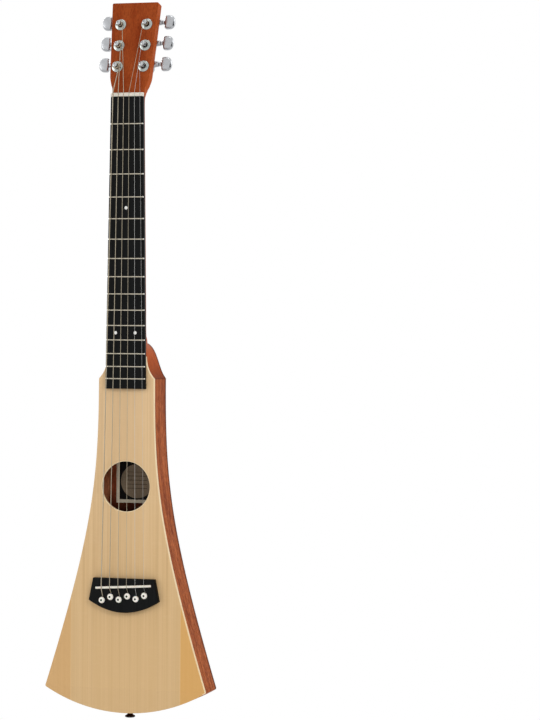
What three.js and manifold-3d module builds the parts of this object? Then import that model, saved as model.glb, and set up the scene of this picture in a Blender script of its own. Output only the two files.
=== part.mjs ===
// Travel guitar: a narrow six-string flat-top guitar with a bell-shaped body and a three-a-side headstock.
// Millimetres. The origin is the middle of the nut's fingerboard face, on the plane where the fingerboard
// is glued to the neck. +Z runs up the neck to the headstock, +X is the treble side, the strings face -Y.

import * as THREE from 'three';
import { mergeVertices } from 'three/addons/utils/BufferGeometryUtils.js';
import Module from 'manifold-3d';

const wasm = await Module();
wasm.setup();

// Fits
const gap = 0.3;
const glueGap = 0.1;
const overrun = 5;

// Strings, from the sixth (bass) to the first (treble)
const scaleLength = 609.6;
const stringDiameters = [1.2, 0.95, 0.75, 0.56, 0.36, 0.25];
const woundStringCount = 4;
const nutStringSpread = 35.5;
const saddleStringSpread = 56.2;
const trebleCompensation = 2.9;
const bassCompensation = 6.3;
const ballRadius = 1.9;
const coilTurns = 2.5;
const coilSelfGap = 0.45;

// Fingerboard and frets
const fretCount = 15;
const fingerboardThickness = 5.5;
const fingerboardCamberRadius = 400;
const fingerboardOverhang = 12.7;
const nutWidth = 42.9;
const fingerboardEndWidth = 53.2;
const fretCrownWidth = 2.2;
const fretCrownHeight = 1.1;
const fretSink = 0.5;
const dotRadius = 3;
const dotDepth = 1.5;
const pairedDotSpacing = 25.6;
const dotFret = 5;
const pairedDotFret = 12;

// Nut
const nutThickness = 5.5;
const nutProud = 2.2;
const nutAction = 0.6;

// Neck and heel
const neckDepthAtNut = 15.2;
const neckDepthAtHeel = 17.6;
const heelLength = 39;
const heelTipWidth = 24;
const headBlend = 30;
const neckBlockLength = 38;
const neckBlockOverlap = 1.2;

// Headstock
const headstockTilt = THREE.MathUtils.degToRad(12.5);
const headstockLength = 116.8;
const headstockThickness = 14.5;
const headstockTopWidth = 61.6;
const headstockWaistWidth = 52.4;
const headstockFlare = 22;
const headstockCornerRadius = 3;
const headstockBendSetback = 1;

// Tuners
const postSpread = 34.8;
const postPitch = 27.6;
const firstPostPlace = 32.8;
const postRadius = 3;
const postWaistRadius = 2.6;
const postHeight = 11.5;
const postHoleRadius = 0.8;
const postHoleHeight = 8;
const postRim = 0.6;
const bushingRadius = 4.5;
const washerRadius = 7;
const washerThickness = 2;
const bushingDepth = 8;
const gearModule = 0.78;
const wheelTeeth = 14;
const wheelThickness = 3.2;
const wormPitchRadius = 2.8;
const wormTurns = 3;
const toothClearance = 0.25;
const shaftRadius = 2;
const shaftTipRadius = 1.4;
const shaftTipDepth = 0.5;
const shaftCollarRadius = 3;
const housingWall = 1.05;
const housingBevel = 1;
const housingLugLength = 2.9;
const housingLugThickness = 3;
const housingLugTipWidth = 3.8;
const housingScrewRadius = 1.2;
const housingArmRadius = 3.4;
const housingArmLength = 6.5;
const buttonReach = 18;
const buttonLength = 13;
const buttonHeight = 18;
const buttonThickness = 8.6;

// Body
const bodyDepth = 46;
const bodyLength = 420.6;
const shoulderWidth = 73.9;
const bodyWidth = 214.1;
const tailRise = 29.8;
const bodyCornerRadius = 2.2;
const sideFlare = THREE.MathUtils.degToRad(17.5);
const soundboardThickness = 2.8;
const backThickness = 2.8;
const sideThickness = 2.2;
const soundholeRadius = 31.5;
const soundholeFromShoulder = 135.4;
const frontFlareLength = 28;
const backBellLength = 44.8;
const liningWidth = 5.5;
const liningDepth = 7;
const tailBlockWidth = 62;
const tailBlockThickness = 16;
const braceWidth = 8;
const braceHeight = 10;
const upperBraceFromSoundhole = 12;
const lowerBraceFromSoundhole = 14;
const backBraceFromShoulder = 235;
const labelWidth = 55.4;
const labelHeight = 55.2;
const labelAboveSoundhole = 4.2;
const labelThickness = 0.4;

// Bridge
const bridgeTopWidth = 81.4;
const bridgeWingWidth = 92.8;
const bridgeWingLength = 28;
const bridgeBelly = 15;
const bridgeHeight = 7.5;
const bridgeBevel = 1.3;
const bridgeAheadOfScale = 5.6;
const saddleLength = 74;
const saddleThickness = 3;
const saddleProud = 3.4;
const saddleSink = 4.5;
const pinHeadRadius = 4;
const pinHeadHeight = 3.4;
const pinTopRadius = 2.4;
const pinTipRadius = 2;
const pinShaftLength = 24;
const pinRowBehindSaddle = 13.8;
const pinStagger = 1.9;
const stringRampLength = 4.2;
const bridgePlateWidth = 88;
const bridgePlateLength = 34;
const bridgePlateThickness = 2.6;

// Strap buttons
const strapButtonRadius = 6.6;
const strapButtonWaist = 3.4;
const strapButtonLength = 8;
const strapScrewRadius = 1.9;
const strapScrewLength = 16;
const tailButtonBehindFront = 22;

// Smoothness of round forms
const bodyCurveSteps = 12;
const cornerSteps = 3;
const tailSteps = 6;
const neckSides = 12;
const stringSides = 5;
const coilStepsPerTurn = 12;
const wormSteps = 9;
const smallSides = 10;
const strapButtonSides = 14;

// Turns a three.js geometry into a bare closed mesh whose faces point outwards.
function closed(geometry) {
  let bare = new THREE.BufferGeometry();
  bare.setAttribute('position', geometry.getAttribute('position').clone());
  if (geometry.index) bare.setIndex(geometry.index.clone());
  bare = mergeVertices(bare, 1e-4);
  const place = bare.getAttribute('position');
  const index = Array.from(bare.index.array);
  const kept = [];
  const a = new THREE.Vector3();
  const b = new THREE.Vector3();
  const c = new THREE.Vector3();
  let volume = 0;
  for (let i = 0; i < index.length; i += 3) {
    const [p, q, r] = index.slice(i, i + 3);
    if (p === q || q === r || r === p) continue;
    kept.push(p, q, r);
    a.fromBufferAttribute(place, p);
    b.fromBufferAttribute(place, q);
    c.fromBufferAttribute(place, r);
    volume += a.dot(b.cross(c));
  }
  if (volume < 0) kept.reverse();
  bare.setIndex(kept);
  return bare;
}

function toSolid(geometry) {
  const bare = closed(geometry);
  const vertProperties = new Float32Array(bare.getAttribute('position').array);
  const triVerts = new Uint32Array(bare.index.array);
  return new wasm.Manifold(new wasm.Mesh({ numProp: 3, vertProperties, triVerts }));
}

function fromSolid(solid) {
  const mesh = solid.getMesh();
  const geometry = new THREE.BufferGeometry();
  geometry.setAttribute('position', new THREE.BufferAttribute(mesh.vertProperties, mesh.numProp));
  geometry.setIndex(new THREE.BufferAttribute(mesh.triVerts, 1));
  return geometry;
}

function joined(...geometries) {
  return fromSolid(geometries.map(toSolid).reduce((whole, piece) => whole.add(piece)));
}

function cut(geometry, ...cutters) {
  return fromSolid(cutters.map(toSolid).reduce((whole, piece) => whole.subtract(piece), toSolid(geometry)));
}

// A skin over rings with equal numbers of points, its two ends closed by fans about their middles.
function loft(rings) {
  const count = rings[0].length;
  const points = rings.flat();
  const index = [];
  for (let i = 0; i + 1 < rings.length; i++) {
    for (let j = 0; j < count; j++) {
      const k = (j + 1) % count;
      const [p, q, r, s] = [i * count + j, i * count + k, (i + 1) * count + k, (i + 1) * count + j];
      index.push(p, q, r, p, r, s);
    }
  }
  for (const end of [0, rings.length - 1]) {
    const middle = new THREE.Vector3();
    rings[end].forEach((point) => middle.addScaledVector(point, 1 / count));
    const hub = points.push(middle) - 1;
    for (let j = 0; j < count; j++) {
      const rim = [end * count + j, end * count + (j + 1) % count];
      index.push(hub, ...(end ? rim : rim.reverse()));
    }
  }
  const geometry = new THREE.BufferGeometry().setFromPoints(points);
  geometry.setIndex(index);
  return geometry;
}

// A flat plate: an outline drawn in X and Z, extruded from y = front to y = back.
function plate(outline, front, back, curveSegments = 12) {
  const shape = outline instanceof THREE.Shape ? outline : new THREE.Shape(outline);
  const geometry = new THREE.ExtrudeGeometry(
    shape, { depth: back - front, bevelEnabled: false, curveSegments });
  return geometry.rotateX(Math.PI / 2).translate(0, back, 0);
}

// A round piece about the Y axis. Each profile row is [radius, y].
function turned(profile, segments = smallSides) {
  return new THREE.LatheGeometry(profile.map(([r, y]) => new THREE.Vector2(r, y)), segments);
}

function mirrored(geometry) {
  return closed(geometry.clone().scale(-1, 1, 1));
}

// Moves along a list of points, one point to a step, so that a tube bends only where the points do.
class PointPath extends THREE.Curve {
  constructor(points) {
    super();
    this.points = points;
  }

  getPoint(t) {
    const place = t * (this.points.length - 1);
    const i = Math.min(Math.floor(place), this.points.length - 2);
    return this.points[i].clone().lerp(this.points[i + 1], place - i);
  }

  getPointAt(t) {
    return this.getPoint(t);
  }

  getTangentAt(t) {
    const i = Math.round(t * (this.points.length - 1));
    const before = this.points[Math.max(i - 1, 0)];
    const here = this.points[i];
    const after = this.points[Math.min(i + 1, this.points.length - 1)];
    const into = here.clone().sub(before).normalize();
    const out = after.clone().sub(here).normalize();
    return into.add(out).normalize();
  }
}

function tube(points, radius, sides) {
  const section = new THREE.Shape();
  for (let i = 0; i < sides; i++) {
    const angle = 2 * Math.PI * i / sides;
    const [x, y] = [radius * Math.cos(angle), radius * Math.sin(angle)];
    if (i) section.lineTo(x, y);
    else section.moveTo(x, y);
  }
  const extrudePath = new PointPath(points);
  return new THREE.ExtrudeGeometry(section, { steps: points.length - 1, extrudePath, curveSegments: 1 });
}

// Places that several pieces share
const fretPlace = (fret) => -scaleLength * (1 - 2 ** (-fret / 12));
const shoulderZ = fretPlace(fretCount);
const fingerboardEndZ = shoulderZ - fingerboardOverhang;
const tailZ = shoulderZ - bodyLength;
const cornerZ = tailZ + tailRise;
const soundholeZ = shoulderZ - soundholeFromShoulder;
const frontFlareZ = shoulderZ + frontFlareLength;
const backBellZ = shoulderZ + backBellLength;
const heelTopZ = backBellZ + heelLength;
const bendZ = nutThickness + headstockBendSetback;
const tailRadius = ((bodyWidth / 2) ** 2 + tailRise ** 2) / (2 * tailRise);
const insideFront = soundboardThickness + glueGap;
const insideBack = bodyDepth - backThickness - glueGap;

const fingerboardHalf = (z) => THREE.MathUtils.mapLinear(
  z, 0, fingerboardEndZ, nutWidth / 2, fingerboardEndWidth / 2);
const fingerboardTop = (x) => -(fingerboardThickness - x * x / (2 * fingerboardCamberRadius));

// The body's half outline a set way inside it, from the treble shoulder round the corner to the middle of the
// tail. Inside the corner's radius the side's line and the tail's arc meet in a sharp corner.
function bodyInset(inset) {
  const shoulderGripShare = 0.333;
  const cornerGripShare = 0.535;
  const along = new THREE.Vector2(Math.sin(sideFlare), -Math.cos(sideFlare));
  const outward = new THREE.Vector2(Math.cos(sideFlare), Math.sin(sideFlare));
  const corner = new THREE.Vector2(bodyWidth / 2, cornerZ);
  const tailCentre = new THREE.Vector2(0, tailZ + tailRadius);
  // Where a line from start along the side comes to a radius about the tail arc's centre.
  const meeting = (start, radius) => {
    const offset = start.clone().sub(tailCentre);
    const reach = offset.dot(along);
    const setback = reach - Math.sqrt(reach * reach - offset.lengthSq() + radius * radius);
    return start.clone().addScaledVector(along, -setback);
  };
  const roundCentre = meeting(
    corner.clone().addScaledVector(outward, -bodyCornerRadius), tailRadius - bodyCornerRadius);
  const sideEnd = roundCentre.clone().addScaledVector(outward, bodyCornerRadius);
  const sideLength = shoulderZ - cornerZ;
  const side = new THREE.CubicBezierCurve(
    new THREE.Vector2(shoulderWidth / 2, shoulderZ),
    new THREE.Vector2(shoulderWidth / 2, shoulderZ - shoulderGripShare * sideLength),
    sideEnd.clone().addScaledVector(along, -cornerGripShare * sideLength),
    sideEnd);
  const points = [];
  for (let i = 0; i < bodyCurveSteps; i++) {
    const tangent = side.getTangent(i / bodyCurveSteps);
    const normal = new THREE.Vector2(-tangent.y, tangent.x);
    points.push(side.getPoint(i / bodyCurveSteps).addScaledVector(normal, -inset));
  }
  const addArc = (centre, radius, from, to, steps, last) => {
    for (let i = 0; i < steps + last; i++) {
      const angle = THREE.MathUtils.lerp(from, to, i / steps);
      const normal = new THREE.Vector2(Math.cos(angle), Math.sin(angle));
      points.push(centre.clone().addScaledVector(normal, radius));
    }
  };
  const round = bodyCornerRadius - inset;
  let tailStart = roundCentre;
  if (round > 0) {
    const meet = roundCentre.clone().sub(tailCentre).angle() - 2 * Math.PI;
    addArc(roundCentre, round, sideFlare, meet, cornerSteps, 0);
  } else {
    tailStart = meeting(roundCentre.clone().addScaledVector(outward, round), tailRadius - inset);
  }
  const start = tailStart.clone().sub(tailCentre).angle() - 2 * Math.PI;
  addArc(tailCentre, tailRadius - inset, start, -Math.PI / 2, tailSteps, 1);
  return points;
}

const mirrorOutline = (points) => points.map((p) => new THREE.Vector2(-p.x, p.y)).reverse();
const bodyHalfWidthAt = (z, inset) => {
  const points = bodyInset(inset);
  const i = points.findIndex((point) => point.y < z);
  const [upper, lower] = [points[i - 1], points[i]];
  return THREE.MathUtils.mapLinear(z, upper.y, lower.y, upper.x, lower.x);
};

// How the shoulders open from the neck's width to the body's: a cove in front, a bell behind.
const flareGripShare = 0.6;
const flareGripZ = THREE.MathUtils.lerp(frontFlareZ, shoulderZ, flareGripShare);
const frontFlare = new THREE.QuadraticBezierCurve(
  new THREE.Vector2(fingerboardHalf(frontFlareZ), frontFlareZ),
  new THREE.Vector2(fingerboardHalf(frontFlareZ), flareGripZ),
  new THREE.Vector2(shoulderWidth / 2, shoulderZ));
const bellWidthShares = [0.33, 0.46, 0.595, 0.712, 0.839, 1];
const bellPlaceShares = [0, 0.12, 0.27, 0.5, 0.77, 1];
const backBell = bellWidthShares.map((share, i) => new THREE.Vector2(
  share * shoulderWidth / 2, THREE.MathUtils.lerp(backBellZ, shoulderZ, bellPlaceShares[i])));
const widthOn = (points, z) => {
  const i = Math.max(1, points.findIndex((point) => point.y <= z + Number.EPSILON * scaleLength));
  const [upper, lower] = [points[i - 1], points[i]];
  return THREE.MathUtils.mapLinear(z, upper.y, lower.y, upper.x, lower.x);
};
const frontFlarePoints = frontFlare.getPoints(4);

// Neck: one loft from the headstock's tip down to the shoulders. A ring runs round the back from the treble
// edge to the bass edge and closes across the flat front. square blends a round back into a square one.
function neckRing(place, frontHalf, backHalf, depth, square) {
  const ring = [];
  for (let j = 0; j <= neckSides; j++) {
    const angle = Math.PI * j / neckSides;
    const [c, s] = [Math.cos(angle), Math.sin(angle)];
    const reach = 1 - square + square / Math.max(Math.abs(c), s);
    const x = c * reach * THREE.MathUtils.lerp(frontHalf, backHalf, s * reach);
    ring.push(place(x, depth * s * reach));
  }
  return ring;
}

const headPlace = (z) => (x, y) => new THREE.Vector3(x, y, z)
  .applyAxisAngle(new THREE.Vector3(1, 0, 0), -headstockTilt).add(new THREE.Vector3(0, 0, bendZ));
const flatPlace = (z) => (x, y) => new THREE.Vector3(x, y, z);

function headstockHalf(s) {
  const straight = THREE.MathUtils.mapLinear(
    s, headstockFlare, headstockLength, headstockWaistWidth / 2, headstockTopWidth / 2);
  const flare = THREE.MathUtils.smoothstep(s, 0, headstockFlare);
  return THREE.MathUtils.lerp(nutWidth / 2, straight, flare);
}

// Each row gives the place down the heel, the depth, the taper of the back and the squareness as shares.
const heelShares = [[0, 0, 0, 0], [0.2, 0.07, 0.12, 0.1], [0.4, 0.24, 0.35, 0.2], [0.6, 0.48, 0.6, 0.35],
  [0.8, 0.75, 0.82, 0.6], [0.94, 0.95, 0.96, 0.9], [1, 1, 1, 1]];
const roundNeckDepth = (z) => THREE.MathUtils.mapLinear(z, 0, heelTopZ, neckDepthAtNut, neckDepthAtHeel);
const heelStations = heelShares.map(([place, deep, taper, square]) => {
  const z = THREE.MathUtils.lerp(heelTopZ, backBellZ, place);
  const front = fingerboardHalf(z);
  const back = THREE.MathUtils.lerp(front, heelTipWidth / 2, taper);
  return { z, front, back, square, depth: THREE.MathUtils.lerp(roundNeckDepth(z), bodyDepth, deep) };
});

// The heel's strap button stands square on the middle facet of the heel's slope.
const [heelAbove, heelBelow] = heelStations.slice(2, 4);
const heelSlope = Math.atan2(heelBelow.depth - heelAbove.depth, heelAbove.z - heelBelow.z);
const heelSeat = new THREE.Vector3(
  0, (heelAbove.depth + heelBelow.depth) / 2, (heelAbove.z + heelBelow.z) / 2);

// Tuners, named by their strings: three posts on each side, the outer strings nearest the nut.
const tunerPlaces = stringDiameters.map((diameter, i) => {
  const string = stringDiameters.length - i;
  const side = string <= 3 ? 1 : -1;
  const row = string <= 3 ? string - 1 : stringDiameters.length - string;
  return { string, side, x: side * postSpread / 2, s: firstPostPlace + row * postPitch };
});

function neckGeometry() {
  const rings = [];
  const tipSteps = 3;
  for (let i = 0; i <= tipSteps; i++) {
    const angle = Math.PI / 2 * (1 - i / tipSteps);
    const s = headstockLength - headstockCornerRadius * (1 - Math.sin(angle));
    const half = headstockHalf(s) - headstockCornerRadius * (1 - Math.cos(angle));
    rings.push(neckRing(headPlace(s), half, half, headstockThickness, 1));
  }
  const flareShares = [1, 0.8, 0.6, 0.4, 0.22];
  for (const share of flareShares) {
    const s = headstockFlare * share;
    rings.push(neckRing(headPlace(s), headstockHalf(s), headstockHalf(s), headstockThickness, 1));
  }
  // The back goes from square at the headstock to round on the neck.
  const squareShares = [1, 0.75, 0.35, 0];
  for (const [i, z] of [bendZ, 0, -headBlend / 3, -headBlend].entries()) {
    const square = squareShares[i];
    rings.push(neckRing(flatPlace(z), fingerboardHalf(z), fingerboardHalf(z), roundNeckDepth(z), square));
  }
  for (const { z, front, back, depth, square } of heelStations) {
    rings.push(neckRing(flatPlace(z), front, back, depth, square));
  }
  for (const { x, y: z } of backBell.slice(1, 3)) {
    rings.push(neckRing(flatPlace(z), fingerboardHalf(z), x, bodyDepth, 1));
  }
  for (const { x, y: z } of frontFlarePoints) {
    const end = Math.max(z, shoulderZ + gap / 2);
    rings.push(neckRing(flatPlace(end), x, widthOn(backBell, end), bodyDepth, 1));
  }
  const blockHalf = shoulderWidth / 2 - sideThickness - gap;
  const block = slab(-blockHalf, blockHalf, shoulderZ - neckBlockLength,
    shoulderZ + neckBlockOverlap, insideFront, insideBack);
  const wide = shoulderWidth;
  const holes = tunerPlaces.map(({ x, s }) => onHeadstock(turned([
    [0, -overrun], [bushingRadius + gap, -overrun], [bushingRadius + gap, bushingDepth + gap],
    [postRadius + gap, bushingDepth + gap], [postRadius + gap, headstockThickness + overrun],
    [0, headstockThickness + overrun]]), x, s));
  return cut(
    joined(loft(rings), block),
    slab(-wide, wide, tailZ, frontFlareZ + gap, -overrun, insideFront),
    slab(-wide, wide, tailZ, backBellZ + gap, insideBack, bodyDepth + overrun),
    atHeelSeat(strapScrewHole()),
    ...holes);
}

// A box between two places along each axis.
function slab(left, right, low, high, front, back) {
  return new THREE.BoxGeometry(right - left, back - front, high - low)
    .translate((left + right) / 2, (front + back) / 2, (low + high) / 2);
}

function onHeadstock(geometry, x, s) {
  return geometry.translate(x, 0, s).rotateX(-headstockTilt).translate(0, 0, bendZ);
}

// Fingerboard: a cambered board with its frets. Both are lofted over the same stations across the width.
const camberShares = [1, 0.35, -0.35, -1];

function fingerboardRing(z) {
  const half = fingerboardHalf(z);
  const top = camberShares.map((share) => new THREE.Vector3(half * share, fingerboardTop(half * share), z));
  return [...top, new THREE.Vector3(-half, -glueGap, z), new THREE.Vector3(half, -glueGap, z)];
}

function fret(number) {
  const z = fretPlace(number);
  const half = fingerboardHalf(z);
  // Each row gives the place across the crown and the height over the board as shares.
  const crownShares = [[-1, 0], [-0.4, 1], [0.4, 1], [1, 0]];
  return loft(camberShares.map((share) => {
    const top = fingerboardTop(half * share);
    const crown = crownShares.map(([across, height]) => new THREE.Vector3(
      half * share, top - fretCrownHeight * height, z + fretCrownWidth / 2 * across));
    const foot = [1, -1].map((across) => new THREE.Vector3(
      half * share, top + fretSink, z + fretCrownWidth / 2 * across));
    return [...crown, ...foot];
  }));
}

const middleOfSpace = (number) => (fretPlace(number) + fretPlace(number - 1)) / 2;
const dotPlaces = [
  ['position_dot_5', 0, middleOfSpace(dotFret)],
  ['position_dot_12_bass', -pairedDotSpacing / 2, middleOfSpace(pairedDotFret)],
  ['position_dot_12_treble', pairedDotSpacing / 2, middleOfSpace(pairedDotFret)]];

function dot(x, z, radius, front) {
  const depth = fingerboardTop(x) + dotDepth;
  return turned([[0, front], [radius, front], [radius, depth], [0, depth]]).translate(x, 0, z);
}

function fingerboardGeometry() {
  const frets = Array.from({ length: fretCount }, (_, i) => fret(i + 1));
  const board = joined(loft([fingerboardRing(-gap), fingerboardRing(fingerboardEndZ)]), ...frets);
  const seats = dotPlaces.map(([, x, z]) => dot(x, z, dotRadius + glueGap, -2 * fingerboardThickness));
  return cut(board, ...seats);
}

// The strings' places at the nut, the saddle and the pins
const acrossStrings = (i) => i / (stringDiameters.length - 1) - 1 / 2;
const stringRadius = (i) => stringDiameters[i] / 2;
const nutX = (i) => acrossStrings(i) * nutStringSpread;
const nutY = (i) => fingerboardTop(nutX(i)) - fretCrownHeight - nutAction - stringRadius(i);
const saddleX = (i) => acrossStrings(i) * saddleStringSpread;
const saddleSlant = Math.atan2(bassCompensation - trebleCompensation, saddleStringSpread);
const saddleMiddleZ = -scaleLength - (bassCompensation + trebleCompensation) / 2;
const saddleZ = (x) => saddleMiddleZ + x * Math.tan(saddleSlant);
const saddleTop = (x) => -(bridgeHeight + saddleProud - x * x / (2 * fingerboardCamberRadius));
const saddleY = (i) => saddleTop(saddleX(i)) - gap - stringRadius(i);
const pinZ = (i) => saddleZ(saddleX(i)) - pinRowBehindSaddle + (i % 2 ? pinStagger : -pinStagger);
const stringHoleZ = (i) => pinZ(i) + pinTopRadius + gap + stringRadius(i);
const bridgeTopZ = -scaleLength + bridgeAheadOfScale;
const bridgePlateBack = insideFront + bridgePlateThickness;

function nutGeometry() {
  const half = nutWidth / 2;
  const top = camberShares.map((part) => new THREE.Vector2(
    half * part, fingerboardTop(half * part) - nutProud));
  const foot = [-half, half].map((x) => new THREE.Vector2(x, -glueGap));
  const outline = new THREE.Shape([...top, ...foot]);
  const block = new THREE.ExtrudeGeometry(outline, { depth: nutThickness, bevelEnabled: false });
  const slots = stringDiameters.map((diameter, i) => {
    const reach = stringRadius(i) + gap;
    return slab(nutX(i) - reach, nutX(i) + reach, -overrun, nutThickness + overrun,
      nutY(i) - overrun, nutY(i) + reach);
  });
  return cut(block, ...slots);
}

// Body plates and sides
function closedOutline(half) {
  return [...half, ...mirrorOutline(half.slice(0, -1))];
}

function stringHoles() {
  return stringDiameters.flatMap((diameter, i) => {
    const long = 2 * (bridgeHeight + bridgePlateBack + overrun);
    const pin = new THREE.CylinderGeometry(pinTopRadius + gap, pinTopRadius + gap, long, smallSides);
    const reach = stringRadius(i) + gap;
    const notch = new THREE.CylinderGeometry(reach, reach, long, 6);
    return [pin.translate(saddleX(i), 0, pinZ(i)), notch.translate(saddleX(i), 0, stringHoleZ(i))];
  });
}

function soundboardGeometry() {
  const half = [...frontFlarePoints, ...bodyInset(0).slice(1)];
  const shape = new THREE.Shape(closedOutline(half));
  shape.holes.push(new THREE.Path().absarc(0, soundholeZ, soundholeRadius, 0, 2 * Math.PI));
  return cut(plate(shape, 0, soundboardThickness), ...stringHoles());
}

function backGeometry() {
  return plate(closedOutline([...backBell, ...bodyInset(0).slice(1)]), bodyDepth - backThickness, bodyDepth);
}

// A strip that follows the treble side between two insets, from the shoulder to the tail's middle.
function sideStrip(outer, inner, front, back) {
  const ends = (points) => {
    points[0].y -= gap / 2;
    points[points.length - 1].x += gap / 2;
    return points;
  };
  return plate([...ends(bodyInset(outer)), ...ends(bodyInset(inner)).reverse()], front, back);
}

function sideGeometry() {
  return cut(sideStrip(0, sideThickness, insideFront, insideBack), atTailSeat(strapScrewHole()));
}

function liningGeometry(front, back) {
  const strip = sideStrip(sideThickness + glueGap, sideThickness + glueGap + liningWidth, front, back);
  const wide = bodyWidth;
  return cut(strip,
    slab(-wide, wide, shoulderZ - neckBlockLength - gap, 0, -overrun, bodyDepth + overrun),
    slab(-wide, tailBlockWidth / 2 + gap, tailZ - overrun, cornerZ, -overrun, bodyDepth + overrun));
}

function tailBlockGeometry() {
  const top = tailZ + sideThickness + tailBlockThickness;
  const inside = plate(closedOutline(bodyInset(sideThickness + glueGap)), insideFront, insideBack);
  const half = tailBlockWidth / 2;
  const room = slab(-half, half, tailZ - overrun, top, -overrun, bodyDepth + overrun);
  return cut(fromSolid(toSolid(inside).intersect(toSolid(room))), atTailSeat(strapScrewHole()));
}

// A brace across the body whose ends thin down. rise points into the body from the plate that it braces.
function braceGeometry(z, base, rise) {
  const half = bodyHalfWidthAt(z, sideThickness + glueGap + liningWidth) - braceWidth / 2;
  const endHeightShare = 0.3;
  const crestLengthShare = 0.72;
  const crest = half * crestLengthShare;
  const outline = [[half, 0], [half, endHeightShare], [crest, 1],
    [-crest, 1], [-half, endHeightShare], [-half, 0]];
  const shape = new THREE.Shape(outline.map(([x, high]) => new THREE.Vector2(x, base + rise * high)));
  return new THREE.ExtrudeGeometry(shape, { depth: braceWidth, bevelEnabled: false })
    .translate(0, 0, z - braceWidth / 2);
}

// Bridge and what it carries
function bridgeRing(y, inset) {
  const wingZ = bridgeTopZ - bridgeWingLength;
  const wing = bridgeWingWidth / 2;
  const bellyShares = [1, 0.8, 0.6, 0.4, 0.2, 0, -0.2, -0.4, -0.6, -0.8, -1];
  const belly = bellyShares.map((across) => [wing * across, wingZ - bridgeBelly * (1 - across * across)]);
  const outline = [[-bridgeTopWidth / 2, bridgeTopZ], [bridgeTopWidth / 2, bridgeTopZ], ...belly];
  const length = bridgeWingLength + bridgeBelly;
  const middleZ = bridgeTopZ - length / 2;
  return outline.map(([x, z]) => new THREE.Vector3(
    x * (1 - inset / wing), y, middleZ + (z - middleZ) * (1 - 2 * inset / length)));
}

function bridgeGeometry() {
  const block = loft([bridgeRing(-glueGap, 0), bridgeRing(bridgeBevel - bridgeHeight, 0),
    bridgeRing(-bridgeHeight, bridgeBevel)]);
  const slotHalf = saddleThickness / 2 + gap;
  const slotReach = saddleLength / 2 + gap;
  const slot = slab(-slotReach, slotReach, -slotHalf, slotHalf, -2 * bridgeHeight,
    saddleSink - bridgeHeight + gap).rotateY(-saddleSlant).translate(0, 0, saddleMiddleZ);
  const ramps = stringDiameters.map((diameter, i) => {
    const reach = stringRadius(i) + gap;
    return slab(saddleX(i) - reach, saddleX(i) + reach, pinZ(i), pinZ(i) + pinHeadRadius + stringRampLength,
      -2 * bridgeHeight, diameter + 2 * gap - bridgeHeight);
  });
  return cut(block, slot, ...ramps, ...stringHoles());
}

function saddleGeometry() {
  const half = saddleLength / 2;
  const foot = saddleSink - bridgeHeight;
  const topShares = [1, 0.97, 0.6, 0.2, -0.2, -0.6, -0.97, -1];
  const top = topShares.map((part) => new THREE.Vector2(
    half * part, Math.abs(part) === 1 ? saddleTop(half) + saddleThickness / 2 : saddleTop(half * part)));
  const shape = new THREE.Shape([...top, new THREE.Vector2(-half, foot), new THREE.Vector2(half, foot)]);
  return new THREE.ExtrudeGeometry(shape, { depth: saddleThickness, bevelEnabled: false })
    .translate(0, 0, -saddleThickness / 2).rotateY(-saddleSlant).translate(0, 0, saddleMiddleZ);
}

function bridgePlateGeometry() {
  const middle = saddleMiddleZ - pinRowBehindSaddle;
  const half = bridgePlateWidth / 2;
  const whole = slab(-half, half, middle - bridgePlateLength / 2, middle + bridgePlateLength / 2,
    insideFront, bridgePlateBack);
  return cut(whole, ...stringHoles());
}

function pinGeometry(i) {
  const seat = -bridgeHeight - glueGap;
  const tip = seat + pinShaftLength;
  // Each row gives a place on the head as shares of its radius and height.
  const headShares = [[0, 1], [0.5, 0.88], [0.92, 0.5], [1, 0.2], [1, 0]];
  const head = headShares.map(([across, high]) => [pinHeadRadius * across, seat - pinHeadHeight * high]);
  const shaft = [[pinTopRadius, seat], [pinTipRadius, tip - pinTipRadius], [0, tip]];
  return turned([...head, ...shaft]).translate(saddleX(i), 0, pinZ(i));
}

// Strap buttons stand on y = 0 and point to -Y, with the screw behind them.
function strapButtonGeometry() {
  // Each row gives a place on the flange as shares of the button's radius and length.
  const flangeShares = [[1, 0.75], [1, 0.9], [0.85, 1], [0, 1]];
  const footShare = 0.72;
  const waistShares = [0.35, 0.55];
  const screw = [[0, strapScrewLength], [strapScrewRadius, strapScrewLength - strapScrewRadius],
    [strapScrewRadius, -glueGap], [footShare * strapButtonRadius, -glueGap]];
  const waist = waistShares.map((along) => [strapButtonWaist, -along * strapButtonLength]);
  const flange = flangeShares.map(
    ([across, along]) => [strapButtonRadius * across, -strapButtonLength * along]);
  return turned([...screw, ...waist, ...flange], strapButtonSides);
}

function strapScrewHole() {
  const radius = strapScrewRadius + gap;
  const depth = strapScrewLength + gap;
  return turned([[0, -overrun], [radius, -overrun], [radius, depth], [0, depth]]);
}

function atTailSeat(geometry) {
  return geometry.rotateX(Math.PI / 2).translate(0, tailButtonBehindFront, tailZ);
}

function atHeelSeat(geometry) {
  return geometry.rotateX(Math.PI + heelSlope).translate(0, heelSeat.y, heelSeat.z);
}

// Tuner works. The worm lies along X behind the headstock, on the tip's side of the post, and drives the
// toothed wheel on the post. Everything is drawn about the post, with the headstock's face at y = 0.
const addendumShare = 0.9;
const circularPitch = Math.PI * gearModule;
const wheelPitchRadius = gearModule * wheelTeeth / 2;
const addendum = addendumShare * gearModule;
const wheelTipRadius = wheelPitchRadius + addendum;
const wormTipRadius = wormPitchRadius + addendum;
const gearDistance = wheelPitchRadius + wormPitchRadius;
const wheelRootRadius = gearDistance - wormTipRadius - toothClearance;
const wormRootRadius = gearDistance - wheelTipRadius - toothClearance;
const gearY = headstockThickness + glueGap + wormTipRadius + gap;
const housingHalf = wheelTipRadius + gap + housingWall;
const housingBack = gearY + wormTipRadius + gap + housingWall;
const housingTop = gearDistance + wormTipRadius + gap + housingWall;
const armEnd = housingHalf + housingArmLength;

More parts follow.
